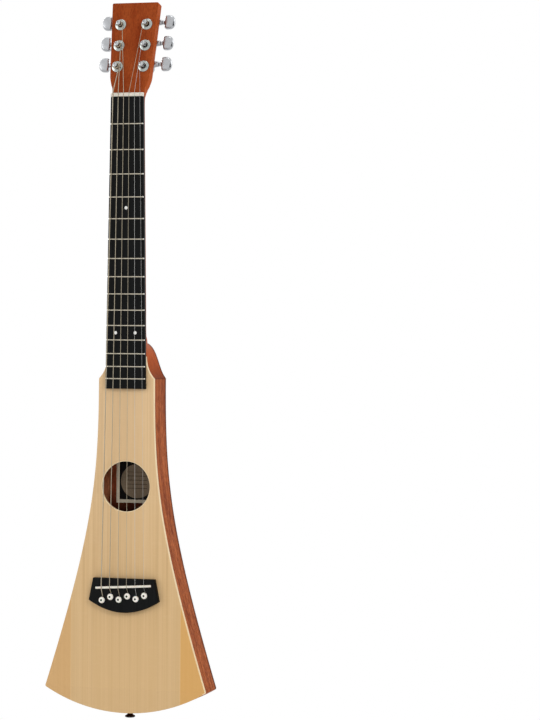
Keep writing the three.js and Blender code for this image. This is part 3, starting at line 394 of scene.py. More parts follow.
def paper(name, half_x, bottom, top):
    """A paper label: cream border, charcoal field, and a plain round grey-brown panel with ruled lines."""
    border, panel_radius, line_step = 0.0042, 0.0217, 0.0052
    look = Look(name)
    z = look.axis("Z")
    across = look.math("ABSOLUTE", look.axis("X"))
    along = look.off(z, (bottom + top) / 2)
    fibre = look.noise((900, 900, 900), 4, 0.6)
    cream = look.ramp(fibre, (0.3, (230, 222, 198)), (0.7, (244, 236, 214)))
    charcoal = look.ramp(fibre, (0.3, (14, 13, 13)), (0.7, (24, 23, 22)))
    panel = look.ramp(fibre, (0.3, (138, 122, 102)), (0.7, (160, 144, 122)))
    lines = look.math("LESS_THAN", look.math("FRACT", look.math("DIVIDE", z, line_step)), 0.2)
    short = look.math("MULTIPLY", lines, look.math("LESS_THAN", across, 0.0135))
    ruled = look.math("MULTIPLY", short, look.math("LESS_THAN", along, 0.012))
    panel = look.stain(panel, (74, 64, 54), ruled, 0.7)
    # The border runs along both edges and the foot, and is left open at the top.
    field = look.math("MULTIPLY", look.math("LESS_THAN", across, half_x - border),
                      look.math("GREATER_THAN", z, bottom + border))
    colour = look.mix(field, cream, charcoal)
    colour = look.mix(look.math("LESS_THAN", look.hypot(across, along), panel_radius), colour, panel)
    look.set(Base_Color=colour, Roughness=look.vary(fibre, 0.77, 0.1), Specular_IOR_Level=0.2)
    look.bump(fibre, 0.00002)
    return look.material


def inner(name):
    """Bare wood inside the body."""
    look = Look(name)
    band = look.noise((160, 160, 6), 3, 0.5, 0.2)
    colour = look.ramp(band, (0.3, (190, 154, 108)), (0.7, (216, 184, 138)))
    fuzz = look.noise((1800, 1800, 90), 3)
    colour = look.over(colour, (168, 130, 88), fuzz, (0.5, 0.0), (0.75, 0.3))
    look.set(Base_Color=colour, Roughness=look.vary(fuzz, 0.675, 0.15))
    look.bump(fuzz, 0.00003)
    return look.material


# The dark line where the neck meets the sides
SEAM = ("Z", SHOULDER_Z * MM, 0.0016)
# The neck's wood has painted shade that darkens it over the 28 mm above the shoulder, in the cove, and
# painted light on its left and right faces. Its last band is a paler tint that fades out 0.17 m either way
# from z -0.15 m.
NECK_WOOD = mahogany(
    "neck_wood", (170, 82, 40), (140, 58, 26), (92, 36, 16), rough=0.36, pore_depth=0.00003,
    bands=(60, 60, 3.5), seed=2.0, shine=0.008, flame=0.35, flecks=0.45, painted_flank_light=(198, 95, 42),
    joint=[("Z", SHOULDER_Z * MM, 0.028, 0.6), (*SEAM, 0.7), ("Z", -0.150, 0.17, 0.5, (206, 126, 80))])
BODY_WOOD = mahogany(
    "body_wood", (196, 112, 72), (158, 82, 50), (92, 38, 22), rough=0.46, pore_depth=0.00006,
    bands=(50, 50, 3.0), seed=5.0, shine=0.03, flame=0.3, flecks=0.75)
# Painted shadow: the inside wood darkens almost to its near-black pore colour within 32 mm of z -0.522 m, at
# the soundhole's lower rim.
INSIDE_WOOD = mahogany(
    "inside_wood", (178, 96, 64), (148, 72, 46), (42, 18, 13), rough=0.6, pore_depth=0.00006,
    bands=(50, 50, 3.0), seed=5.0, shine=0.01, joint=[("Z", -0.522, 0.032, 0.97)])
# Painted shade: besides the seam at the shoulder, the sides darken towards their back edge over its last 6
# mm.
SIDE_WOOD = mahogany(
    "side_wood", (206, 116, 67), (138, 64, 33), (90, 36, 18), rough=0.42, pore_depth=0.00005,
    bands=(110, 150, 7.0), seed=9.0, shine=0.012, flame=0.6, flecks=0.7,
    joint=[(*SEAM, 0.6), ("Y", 0.0445, 0.006, 1.0)])
# The back's edge: a dark copy of the body's wood for end grain and painted shade, and a light copy that is a
# painted highlight on its rounded rim.
EDGE_DARK = mahogany(
    "back_edge", (112, 54, 28), (88, 40, 20), (60, 26, 14), rough=0.5, pore_depth=0.00003,
    bands=(90, 90, 9.0), seed=3.0, shine=0.03)
EDGE_HIGHLIGHT = mahogany(
    "back_edge_painted_highlight", (206, 122, 78), (176, 92, 54), (126, 62, 36), rough=0.4, pore_depth=0.00003,
    bands=(90, 90, 9.0), seed=4.0, shine=0.05)
LINING = mahogany(
    "lining_wood", (196, 130, 90), (160, 98, 64), (110, 62, 40), rough=0.62, pore_depth=0.00004,
    bands=(120, 120, 9.0), seed=6.0, shine=0.08)
SPRUCE = spruce("spruce")
# A pale copy of the spruce, for the cut edge round the soundhole and for a painted highlight on the treble
# edge.
SPRUCE_EDGE = spruce("spruce_edge", pale=True)
BOARD_BLACK = black_wood("board_black")
BRIDGE_BLACK = black_wood("bridge_black", 0.48)
IVORY = bone("ivory", (236, 230, 216))
NUT_BONE = bone("nut_bone", (219, 212, 199))
PIN_WHITE = bone("pin_white", (255, 251, 240), 0.26)
CHROME = metal("chrome", (190, 193, 194), 0.12)
WASHER = metal("washer_chrome", (176, 183, 179), 0.14)
SATIN = metal("satin_chrome", (184, 186, 189), 0.29, 0.10, 0.8)
STEEL = metal("fret_steel", (198, 190, 172), 0.26, 0.1, 1.0)
# A painted glint: near-white steel for the ends of the frets.
FRET_END_GLINT = metal("fret_end_painted_glint", (250, 248, 240), 0.30, 0.06, 0.3)
BLACK_CHROME = metal("black_chrome", (46, 42, 42), 0.24, 0.08, 0.5)
# Painted shade: dark metal for the slots of screws and for the gap round each post.
METAL_SHADE = metal("painted_shade_metal", (58, 56, 56), 0.35)
BRONZE = winding("bronze_winding")
WIRE = plain_wire("plain_wire")
PEARL = pearl("pearl")
INNER = inner("inner_wood")
INK = black_wood("ink", 0.5)


# Mesh helpers. A shape is a pair: a list of points and a list of faces.


def placed(name, data):
    made = bpy.data.objects.new(name, data)
    bpy.context.scene.collection.objects.link(made)
    return made


def mesh_data(name, shape):
    """A shape in metres, with its doubled points welded and its faces turned out."""
    points, faces = shape
    data = bpy.data.meshes.new(name)
    data.from_pydata([tuple(c * MM for c in p) for p in points], [], faces)
    work = bmesh.new()
    work.from_mesh(data)
    bmesh.ops.remove_doubles(work, verts=work.verts, dist=1e-7)
    bmesh.ops.dissolve_degenerate(work, edges=work.edges, dist=1e-8)
    bmesh.ops.recalc_face_normals(work, faces=work.faces)
    work.to_mesh(data)
    work.free()
    return data


def soften(data, angle):
    """Smooth shading, but for edges that turn by more than angle."""
    data.shade_smooth()
    data.set_sharp_from_angle(angle=math.radians(angle))


def mesh(name, shape, material, slot, replaces=(), body="root", angle=40, extra=()):
    """A piece that rides a body and takes the place of CAD nodes. extra lists more materials, for paint()."""
    data = mesh_data(name, shape)
    for each in (material, *extra):
        data.materials.append(each)
    soften(data, angle)
    made = placed(name, data)
    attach(made, body)
    if replaces:
        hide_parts(*replaces)
    return made


def paint(made, index, chosen):
    """Gives another of its materials to the faces for which chosen(middle, direction) is true."""
    for face in made.data.polygons:
        if chosen(face.center / MM, face.normal):
            face.material_index = index


def join(*shapes):
    points, faces = [], []
    for more, sides in shapes:
        start = len(points)
        points += more
        faces += [[start + i for i in side] for side in sides]
    return points, faces


def moved(shape, matrix):
    points, faces = shape
    return [tuple(matrix @ Vector(p)) for p in points], faces


def step_by(x, y, z):
    return Matrix.Translation((x, y, z))


def loft(rings, cap=True):
    """A skin over rings with equal numbers of points. Its ends close with a fan about their middles."""
    count = len(rings[0])
    points = [p for ring in rings for p in ring]
    faces = []
    for i in range(len(rings) - 1):
        for j in range(count):
            k = (j + 1) % count
            faces.append([i * count + j, i * count + k, (i + 1) * count + k, (i + 1) * count + j])
    if cap:
        for end in (0, len(rings) - 1):
            hub = len(points)
            points.append(tuple(sum(c) / count for c in zip(*rings[end])))
            faces += [[hub, end * count + j, end * count + (j + 1) % count] for j in range(count)]
    return points, faces


def circle(x, z, radius, steps=96):
    return [(x + radius * math.cos(a), z + radius * math.sin(a)) for a in spread(0, TAU, steps)[:-1]]


def lathe(profile, segments=32, ring=False):
    """A round piece about the Y axis, from rows of (radius, y). ring joins the last row to the first."""
    rows = profile + profile[:1] if ring else profile
    return loft([[(x, y, z) for x, z in circle(0, 0, r, segments)] for r, y in rows], not ring)


def round_bar(rows, segments, front=0):
    """A round bar along a button's shaft, from rows of (place, radius). It stays behind a plane, front."""
    return loft([[(a, max(y, front), z) for y, z in circle(GEAR_Y, GEAR_Z, r, segments)] for a, r in rows])


def tube(path, radius, sides):
    """A round tube along points, with rings turned as little as possible from one to the next."""
    path = [Vector(p) for p in path]
    last = len(path) - 1
    tangents = [(path[min(i + 1, last)] - path[max(i - 1, 0)]).normalized() for i in range(last + 1)]
    side = tangents[0].orthogonal().normalized()
    rings = []
    for p, along in zip(path, tangents):
        side = (side - along * side.dot(along)).normalized()
        other = along.cross(side)
        rings.append([tuple(p + side * a + other * b) for a, b in circle(0, 0, radius, sides)])
    return loft(rings)


def box_shape(x0, x1, y0, y1, z0, z1):
    points = [(x, y, z) for z in (z0, z1) for x, y in ((x0, y0), (x1, y0), (x1, y1), (x0, y1))]
    return points, [[0, 1, 2, 3], [7, 6, 5, 4], [0, 4, 5, 1], [1, 5, 6, 2], [2, 6, 7, 3], [3, 7, 4, 0]]


def screw_cross(half, y0, y1, width, turn, place):
    """The cross of a screw: two bars at right angles, turned about the screw."""
    bar = box_shape(-half, half, y0, y1, -width / 2, width / 2)
    return join(*[moved(bar, place @ Matrix.Rotation(turn + more, 4, "Y")) for more in (0, math.pi / 2)])


def triangles(loops):
    """Triangles between flat loops: the first is the outline and the others are its holes."""
    flat_loops = [[Vector((a, b, 0)) for a, b in loop] for loop in loops]
    return [list(t) for t in tessellate_polygon(flat_loops)]


def flat_cap(loops, y):
    """A flat face at height y. Loops hold (x, z)."""
    return [(x, y, z) for loop in loops for x, z in loop], triangles(loops)


def plate(outline, levels, holes=()):
    """A plate whose outline(inset) is a list of (x, z). levels are (y, inset) from front to back. A hole is a
    list of loops, one to a level."""
    heights = [y for y, inset in levels]
    walls = [[outline(inset) for y, inset in levels], *holes]
    caps = [flat_cap([wall[i] for wall in walls], heights[i]) for i in (0, -1)]
    skins = [loft([[(x, y, z) for x, z in loop] for loop, y in zip(wall, heights)], False) for wall in walls]
    return join(*caps, *skins)


def head(x, y, s):
    """A place on the headstock: y behind its face and s up it."""
    return (x, y * math.cos(TILT) + s * math.sin(TILT), s * math.cos(TILT) - y * math.sin(TILT) + BEND_Z)


def on_head(shape, side, s):
    """Puts a tuner's piece, drawn about its post, in its place on the headstock."""
    points, faces = shape
    return [head(side * (POST_X + x), y, s + z) for x, y, z in points], faces


# Body


def body_half(side_steps=72, corner_steps=12, tail_steps=40):
    """Rows of (point, direction out) from the treble shoulder round to the middle of the tail."""
    tail_radius = ((BODY_WIDTH / 2) ** 2 + TAIL_RISE ** 2) / (2 * TAIL_RISE)
    along = Vector((math.sin(SIDE_FLARE), -math.cos(SIDE_FLARE)))
    outward = Vector((math.cos(SIDE_FLARE), math.sin(SIDE_FLARE)))
    corner = Vector((BODY_WIDTH / 2, CORNER_Z))
    tail_centre = Vector((0, TAIL_Z + tail_radius))
    offset = corner - outward * CORNER_RADIUS - tail_centre
    inner_radius = tail_radius - CORNER_RADIUS
    reach = offset.dot(along)
    setback = reach - math.sqrt(reach * reach - offset.length_squared + inner_radius ** 2)
    side_end = corner - along * setback
    round_centre = side_end - outward * CORNER_RADIUS
    side_length = SHOULDER_Z - CORNER_Z
    # The side is a cubic curve: straight down from the shoulder, and straight along the flare at the corner.
    a = Vector((SHOULDER_WIDTH / 2, SHOULDER_Z))
    b = Vector((SHOULDER_WIDTH / 2, SHOULDER_Z - 0.333 * side_length))
    c = side_end - along * 0.535 * side_length
    d = side_end
    rows = []
    for t in spread(0, 1, side_steps)[:-1]:
        v = bezier([b - a, c - b, d - c], t).normalized()
        rows.append((bezier([a, b, c, d], t), Vector((-v.y, v.x))))
    to_round = round_centre - tail_centre
    meet = math.atan2(to_round.y, to_round.x)
    for centre, radius, angles in (
            (round_centre, CORNER_RADIUS, spread(SIDE_FLARE, meet, corner_steps)[:-1]),
            (tail_centre, tail_radius, spread(meet, -math.pi / 2, tail_steps))):
        for angle in angles:
            normal = Vector((math.cos(angle), math.sin(angle)))
            rows.append((centre + normal * radius, normal))
    return rows


ROWS = body_half()


def body_points(inset):
    return [tuple(p - n * inset) for p, n in ROWS]


def both_sides(half):
    """Closes a treble half outline, whose last point is in the middle, with its mirror image."""
    return list(half) + [(-x, z) for x, z in reversed(half[:-1])]


def front_flare(steps=14):
    """The cove from the fingerboard's width to the shoulder's, on the soundboard."""
    half = board_half(FLARE_Z)
    guide = [Vector((half, FLARE_Z)), Vector((half, lerp(FLARE_Z, SHOULDER_Z, 0.6))),
             Vector((SHOULDER_WIDTH / 2, SHOULDER_Z))]
    return [tuple(bezier(guide, t)) for t in spread(0, 1, steps)[:-1]]


# The bell of the back, as shares of the shoulder's width and of the way down to it
BELL = [(w * SHOULDER_WIDTH / 2, lerp(BELL_Z, SHOULDER_Z, s)) for w, s in (
    (0.25, 0), (0.32, 0.008), (0.385, 0.035), (0.465, 0.09), (0.54, 0.17), (0.615, 0.28),
    (0.675, 0.40), (0.73, 0.52), (0.78, 0.64), (0.84, 0.77), (0.91, 0.89), (1, 1))]


def back_bell(steps=30):
    return [curve_through(BELL, t) for t in spread(0, 1, steps)[:-1]]


def on_half(points, z):
    """The half width of a list of (x, z), falling in z, at a height."""
    for (x0, z0), (x1, z1) in zip(points, points[1:]):
        if z1 <= z <= z0:
            return lerp(x0, x1, (z - z0) / (z1 - z0)) if z1 != z0 else x1
    return points[0][0] if z > points[0][1] else points[-1][0]


def top_outline(inset):
    cove = [(x - inset * 0.8, z - inset * 0.6) for x, z in front_flare()]
    cove[0] = (cove[0][0], FLARE_Z - inset)
    return both_sides(cove + body_points(inset))


def back_outline(inset):
    bell = [(x - inset, z - inset * 0.2) for x, z in back_bell()]
    bell[0] = (bell[0][0], BELL_Z - inset)
    return both_sides(bell + body_points(inset))


def soundboard():
    """The spruce top. Its cut edge is paler round the soundhole, and along the treble side it carries a
    painted highlight.
    """
    levels = [(0, 1.0), (0.12, 0.55), (0.4, 0.2), (0.9, 0), (INNER_FRONT, 0)]
    rim = [circle(0, HOLE_Z, HOLE_RADIUS + grow) for grow in (0.8, 0.4, 0.12, 0, 0)]
    made = mesh("soundboard_top", plate(top_outline, levels, [rim]), SPRUCE, "spruce_top", ["soundboard"],
                angle=50, extra=[SPRUCE_EDGE])

    # Pale faces: the cut edge round the soundhole, and a painted highlight on the treble side's edge.
    def pale(middle, out):
        at_hole = math.hypot(middle.x, middle.z - HOLE_Z) < HOLE_RADIUS + 2
        return out.y > -0.999 and (at_hole or (middle.z > CORNER_Z - 2 and middle.x > 0))

    paint(made, 1, pale)


def back():
    """The back plate, with a dark edge of end grain and painted shade, a painted highlight on its rounded
    rim, and on its inner face another finish, which holds a painted shadow below the soundhole.
    """
    rim, flat = BODY_DEPTH - 0.7, 0.99
    levels = [(INNER_BACK, 0), (rim, 0), (BODY_DEPTH - 0.2, 0.2), (BODY_DEPTH, 0.7)]
    made = mesh("back_plate", plate(back_outline, levels), BODY_WOOD, "body_mahogany", ["back"], angle=50,
                extra=[EDGE_DARK, EDGE_HIGHLIGHT, INSIDE_WOOD])
    # End grain and painted shade on the straight edge, and a painted highlight on the rounded rim.
    paint(made, 1, lambda middle, out: abs(out.y) < flat and middle.y < rim)
    paint(made, 2, lambda middle, out: abs(out.y) < flat and middle.y >= rim)
    paint(made, 3, lambda middle, out: out.y <= -flat)


def side(sign, name, node):
    """One bent side, from the shoulder to the middle of the tail."""
    half_joint = 0.15
    outer, inside = body_points(0), body_points(SIDE_THICKNESS)
    outer[-1] = (half_joint, outer[-1][1])
    inside[-1] = (half_joint, inside[-1][1])
    loop = [(sign * x, z) for x, z in outer + inside[::-1]]
    heights = (INNER_FRONT, INNER_BACK)
    skin = loft([[(x, y, z) for x, z in loop] for y in heights], False)
    shape = join(skin, *[flat_cap([loop], y) for y in heights])
    mesh(name, shape, SIDE_WOOD, "body_mahogany", [node], angle=50)


# Neck


def neck_ring(place, front_half, back_half, depth, square, edge, front=0.0, power=16):
    """A section from the treble edge round the back to the bass edge. square goes from a slim round back to a
    boxy one, whose corners sharpen with power. edge softens the two front edges."""
    sides, slim = 56, 1.68
    ring = []
    for angle in spread(0, math.pi, sides):
        c, s = math.cos(angle), math.sin(angle)
        round_reach, boxy_reach = ((abs(c) ** n + abs(s) ** n) ** (-1 / n) for n in (slim, power))
        reach = lerp(round_reach, boxy_reach, square)
        x = c * reach * lerp(front_half, back_half, min(s * reach, 1))
        ring.append(place(x, lerp(front + edge, depth, s * reach)))
    corner, brow = front_half - edge * 0.3, front_half - edge
    lead = [place(brow, front), place(corner, front + edge * 0.3)]
    tail = [place(-corner, front + edge * 0.3), place(-brow, front)]
    return lead + ring + tail


def upright(z):
    """Places a section of the neck at a height."""
    return lambda x, y: (x, y, z)


def leaning(s):
    """Places a section of the headstock at a distance up its face."""
    return lambda x, y: head(x, y, s)


def head_half(s):
    straight = lerp(HEAD_WAIST / 2, HEAD_TOP / 2, (s - HEAD_FLARE) / (HEAD_LENGTH - HEAD_FLARE))
    return lerp(NUT_WIDTH / 2, straight, smooth(s / HEAD_FLARE) ** 0.65)


def neck_depth(z):
    return lerp(NECK_DEPTHS[0], NECK_DEPTHS[1], z / HEEL_Z)


# Rows down the heel: the share of its length, of the way back to the body's depth, of the taper to its tip,
# and of the squaring of its section
HEEL = [(0, 0, 0, 0), (0.2, 0.07, 0.12, 0.1), (0.4, 0.24, 0.35, 0.2), (0.6, 0.48, 0.5, 0.35),
        (0.8, 0.75, 0.72, 0.6), (0.94, 0.95, 0.93, 0.9), (1, 1, 1, 1)]


def headstock_rings():
    """From the rounded top edge down to the bend, where the headstock narrows to the nut."""
    low, bend_z = 2.5, BEND_Z - 1.5

    def section(s, half, square=1):
        return neck_ring(leaning(s), half, half, HEAD_THICKNESS, square, edge=0.7)

    rings = []
    for angle in spread(math.pi / 2, 0, 6):
        s = HEAD_LENGTH - HEAD_ROUND * (1 - math.sin(angle))
        rings.append(section(s, head_half(s) - HEAD_ROUND * (1 - math.cos(angle))))
    rings += [section(s, head_half(s)) for s in spread(HEAD_LENGTH - HEAD_ROUND, HEAD_FLARE, 12)[1:-1]]
    for s in spread(HEAD_FLARE, low, 16):
        half = lerp(board_half(bend_z) + 0.1, head_half(s), smooth((s - 1) / 8))
        rings.append(section(s, half, 1 - 0.15 * (1 - s / HEAD_FLARE) ** 2))
    return rings


def shaft_rings():
    """The boxy end of the headstock fades into the neck's slim section, which runs down to the heel."""
    fade_end = -30
    fade = [(BEND_Z - 1.5, 0.8), (2.5, 0.7), (0, 0.58), (-5, 0.36), (-10, 0.2), (-16, 0.09), (-23, 0.02),
            (fade_end, 0)]
    rows = [(z, neck_depth(z) - 0.5 * smooth(1 + (z - 5) / 14), square) for z, square in fade]
    rows += [(z, neck_depth(z), 0) for z in spread(fade_end, HEEL_Z, 12)[1:-1]]
    return [neck_ring(upright(z), board_half(z), board_half(z), depth, square, edge=0.25)
            for z, depth, square in rows]


def heel_rings():
    rings = []
    for t in spread(0, 1, 36):
        place, deep, taper, square = (clamp(share) for share in curve_through(HEEL, t))
        z = lerp(HEEL_Z, BELL_Z, place)
        half = board_half(z)
        rings.append(neck_ring(upright(z), half, lerp(half, HEEL_TIP / 2, taper),
                               lerp(neck_depth(z), BODY_DEPTH, deep), square, edge=0.25))
    return rings


def shoulder_rings():
    """The block below the heel, which widens to the body's shoulders behind and then in front."""
    corner = [(SHOULDER_WIDTH / 2, SHOULDER_Z)]
    bell, cove = back_bell() + corner, front_flare() + corner
    back_y = BODY_DEPTH - BACK_THICKNESS
    rings = [neck_ring(upright(z), board_half(z), on_half(bell, z), back_y, 1, edge=0.25, power=60)
             for z in spread(BELL_Z, FLARE_Z, 8)[1:]]
    for z in spread(FLARE_Z, SHOULDER_Z + 0.05, 12):
        rings.append(neck_ring(upright(z), on_half(cove, z), on_half(bell, z), back_y, 1, edge=0.02,
                               front=TOP_THICKNESS, power=60))
    return rings


def neck():
    """The neck, with the block on its end that fills the top of the body."""
    skin = loft(headstock_rings() + shaft_rings() + heel_rings() + shoulder_rings())
    half, overlap, length = SHOULDER_WIDTH / 2 - SIDE_THICKNESS - GAP, 1, 38
    block = box_shape(-half, half, INNER_FRONT + 0.05, INNER_BACK - 0.05, SHOULDER_Z + overlap,
                      SHOULDER_Z - length)
    mesh("neck_and_heel", join(skin, block), NECK_WOOD, "neck_mahogany", ["neck"])


# Fingerboard and nut


def fingerboard():
    across = spread(1, -1, 14)

    def ring(z, drop=0.0, narrow=0.0):
        half = board_half(z) - narrow
        top = [(half * a, board_top(half * a) + drop + (0.35 if abs(a) == 1 else 0), z) for a in across]
        return top + [(-half, -0.05, z), (half, -0.05, z)]

    rings = [ring(-0.3, 0.25, 0.25)]
    rings += [ring(z) for z in spread(-0.5, BOARD_END_Z + 0.4, 30)]
    rings += [ring(BOARD_END_Z + 0.1, 0.1, 0.1), ring(BOARD_END_Z, 0.35, 0.3)]
    mesh("fingerboard_black", loft(rings), BOARD_BLACK, "fingerboard_black", ["fingerboard"], angle=30)


# One side of a fret's crown, as shares of its half width and of its height
CROWN = [(0.42, 0.94), (0.75, 0.72), (0.96, 0.35), (1, -0.05)]


def fret_section(x, z, tall):
    """A fret's section at x: the crown, which is tall only away from the ends, and its foot in the board."""
    width, top = FRET_WIDTH / 2 * lerp(0.8, 1, tall), board_top(x)
    profile = [(-a, h) for a, h in reversed(CROWN)] + [(0, 1)] + CROWN
    crown = [(x, top - FRET_HEIGHT * h * tall, z + a * width) for a, h in profile]
    return crown + [(x, top + 0.4, z + width), (x, top + 0.4, z - width)]


def frets():
    parts = []
    for z in (fret_z(n) for n in range(1, FRETS + 1)):
        half = board_half(z)
        stations = [(half - 0.05, 0.15), (half - 0.45, 0.62), (half - 1.0, 0.9), (half - 1.7, 1)]
        stations += [(half * k, 1) for k in (0.75, 0.5, 0.25, 0)]
        stations += [(-x, tall) for x, tall in reversed(stations[:-1])]
        parts.append(loft([fret_section(x, z, tall) for x, tall in stations]))
    made = mesh("frets", join(*parts), STEEL, "fingerboard_black", extra=[FRET_END_GLINT])
    # Painted highlight: the last 1.25 mm at each end of each fret takes the near-white steel.
    paint(made, 1, lambda middle, out: abs(middle.x) > board_half(middle.z) - 1.25)


def across_strings(i):
    return i / (len(GAUGES) - 1) - 0.5


def nut_x(i):
    return across_strings(i) * NUT_SPREAD


def nut_y(i):
    return board_top(nut_x(i)) - FRET_HEIGHT - 0.6 - GAUGES[i] / 2


def nut():
    """The nut, with a round-bottomed slot for each string."""
    half, shoulder, foot_y = NUT_WIDTH / 2 - 0.5, 0.6, -0.05
    row = [(-half, None), (-half + shoulder, None)]
    for i in STRINGS:
        x, y, reach = nut_x(i), nut_y(i), GAUGES[i] / 2 + 0.1
        row += [(x - reach, None), (x - reach, y)]
        row += [(x - reach * math.cos(a), y + reach * math.sin(a)) for a in spread(0, math.pi, 6)[1:-1]]
        row += [(x + reach, y), (x + reach, None)]
    row += [(half - shoulder, None), (half, None)]
    outline = []
    for x, y in row:
        top = board_top(x) - NUT_PROUD + (shoulder if abs(x) > half - 0.3 else 0)
        outline.append((x, top if y is None else y))
    outline += [(half, foot_y), (-half, foot_y)]
    # The top falls away towards the headstock, and its front edge is rounded over.
    falls = [(0, 0.25), (0.3, 0.0), (2.6, 0.0), (3.8, 0.6), (4.5, 1.2), (4.75, 1.7)]
    rings = [[(x, y if y > -0.1 else min(y + fall, -4.2), z) for x, y in outline] for z, fall in falls]
    caps = [(ring, triangles([[(x, y) for x, y, z in ring]])) for ring in (rings[0], rings[-1])]
    mesh("nut_bone", join(loft(rings, False), *caps), NUT_BONE, "ivory", ["nut"], angle=30)


# Bridge

BRIDGE_TOP_Z = -SCALE + 5.6
TOP_HALF, WING_HALF, WING_DROP, BELLY = 40.7, 46.4, 28, 15
SLOT_SHIFT = 0.9
SLANT = math.atan2(BASS_SETBACK - TREBLE_SETBACK, SADDLE_SPREAD)
SADDLE_MID_Z = -SCALE - (BASS_SETBACK + TREBLE_SETBACK) / 2


def saddle_x(i):
    return across_strings(i) * SADDLE_SPREAD


def saddle_z(x):
    return SADDLE_MID_Z + x * math.tan(SLANT)


def saddle_top(x):
    return -(BRIDGE_HEIGHT + SADDLE_PROUD - x * x / (2 * CAMBER_RADIUS))


def saddle_y(i):
    return saddle_top(saddle_x(i)) - 0.08 - GAUGES[i] / 2


def pin_z(i):
    return saddle_z(saddle_x(i)) - PIN_SETBACK + (PIN_STAGGER if i % 2 else -PIN_STAGGER)


def bridge_outline(inset):
    length = WING_DROP + BELLY
    middle = BRIDGE_TOP_Z - length / 2
    narrow, low = 1 - inset / WING_HALF, 1 - 2 * inset / length
    outline = [(-TOP_HALF, BRIDGE_TOP_Z), (TOP_HALF, BRIDGE_TOP_Z)]
    outline += [(WING_HALF * a, BRIDGE_TOP_Z - WING_DROP - BELLY * (1 - a * a)) for a in spread(1, -1, 32)]
    return [(x * narrow, middle + (z - middle) * low) for x, z in outline]


def cut_away(target, cutters):
    """Cuts each shape out of the piece and applies the cut."""
    for cutter in cutters:
        tool = placed("cutter", mesh_data("cutter", cutter))
        step = target.modifiers.new("cut", "BOOLEAN")
        step.operation = "DIFFERENCE"
        step.solver = "EXACT"
        step.object = tool
        bpy.context.view_layer.update()
        graph = bpy.context.evaluated_depsgraph_get()
        cut = bpy.data.meshes.new_from_object(target.evaluated_get(graph), depsgraph=graph)
        target.modifiers.remove(step)
        spent = (tool.data, target.data)
        target.data = cut
        bpy.data.objects.remove(tool)
        for data in spent:
            bpy.data.meshes.remove(data)
    soften(target.data, 35)


def bridge():
    """The bridge, with a round hole for each pin and a slot above it for the string."""
    levels = [(-0.02, 0)] + [(down - BRIDGE_HEIGHT, inset) for down, inset in
                             ((1.8, 0), (1.2, 0.1), (0.55, 0.45), (0.12, 1.1), (0, 1.6))]
    made = mesh("bridge_black", plate(bridge_outline, levels[::-1]), BRIDGE_BLACK, "bridge_black", ["bridge"],
                angle=35)
    above, hole_radius, hole_floor, slot_length = -12, 3.0, -4, 7.8
    hole = lathe([(hole_radius, above), (hole_radius, hole_floor)], 24)
    cutters = []
    for i in STRINGS:
        reach, x, z = GAUGES[i] / 2 + 0.25, saddle_x(i), pin_z(i)
        slot_x, slot_floor = x + SLOT_SHIFT, GAUGES[i] + 0.5 - BRIDGE_HEIGHT
        cutters.append(box_shape(slot_x - reach, slot_x + reach, above, slot_floor, z + 1, z + slot_length))
        cutters.append(moved(hole, step_by(x, 0, z)))
    cut_away(made, cutters)


def saddle():
    """The slanting saddle, with rounded ends and a shallow notch under each of the three thickest strings."""
    half, end_radius, foot_y = 37, 1.5, -6.8
    crown = [(-1.4, 0.9), (-1.2, 0.3), (-0.85, 0.06), (-0.35, 0)]
    crown += [(-z, drop) for z, drop in reversed(crown)]
    rings = []
    for x in spread(half, -half, 36):
        past = max(0, (abs(x) - (half - end_radius)) / end_radius)
        end = end_radius * (1 - math.sqrt(max(0, 1 - past ** 2)))
        notch = 0.12 if any(abs(x - saddle_x(i)) < GAUGES[i] * 0.8 for i in STRINGS) else 0
        top = [(x, saddle_top(x) + drop + end + notch, z) for z, drop in crown]
        rings.append(top + [(x, foot_y, 1.4), (x, foot_y, -1.4)])
    slant = step_by(0, 0, SADDLE_MID_Z) @ Matrix.Rotation(-SLANT, 4, "Y")
    mesh("saddle_bone", moved(loft(rings), slant), IVORY, "ivory", ["saddle"])


def pins():
    """Domed pins with a hollow in the head that holds a black dot, drawn from the bridge's top."""
    seat = -BRIDGE_HEIGHT - 0.05
    hollow = [(0, -2.75), (1.15, -2.75), (1.3, -2.95), (1.45, -3.35)]
    dome = [(1.75, -3.4), (2.5, -3.05), (3.2, -2.4), (3.72, -1.6), (3.98, -0.85), (4.0, -0.4), (3.8, -0.05)]
    stem = [(PIN_RADIUS, 0), (2.3, 3), (2.1, 20), (1.2, 23.6), (0, 24)]
    dot = [(0, -3.42), (0.8, -3.36), (1.2, -3.2), (1.4, -2.9), (0, -2.74)]
    for i in STRINGS:
        number = len(GAUGES) - i
        place = step_by(saddle_x(i), seat, pin_z(i))
        mesh(f"pin_{number}", moved(lathe(hollow + dome + stem, 36), place), PIN_WHITE, "pin_ivory",
             [f"bridge_pin_{number}"], angle=50)
        mesh(f"pin_dot_{number}", moved(lathe(dot, 24), place), INK, "pin_ivory", angle=50)


# Strings


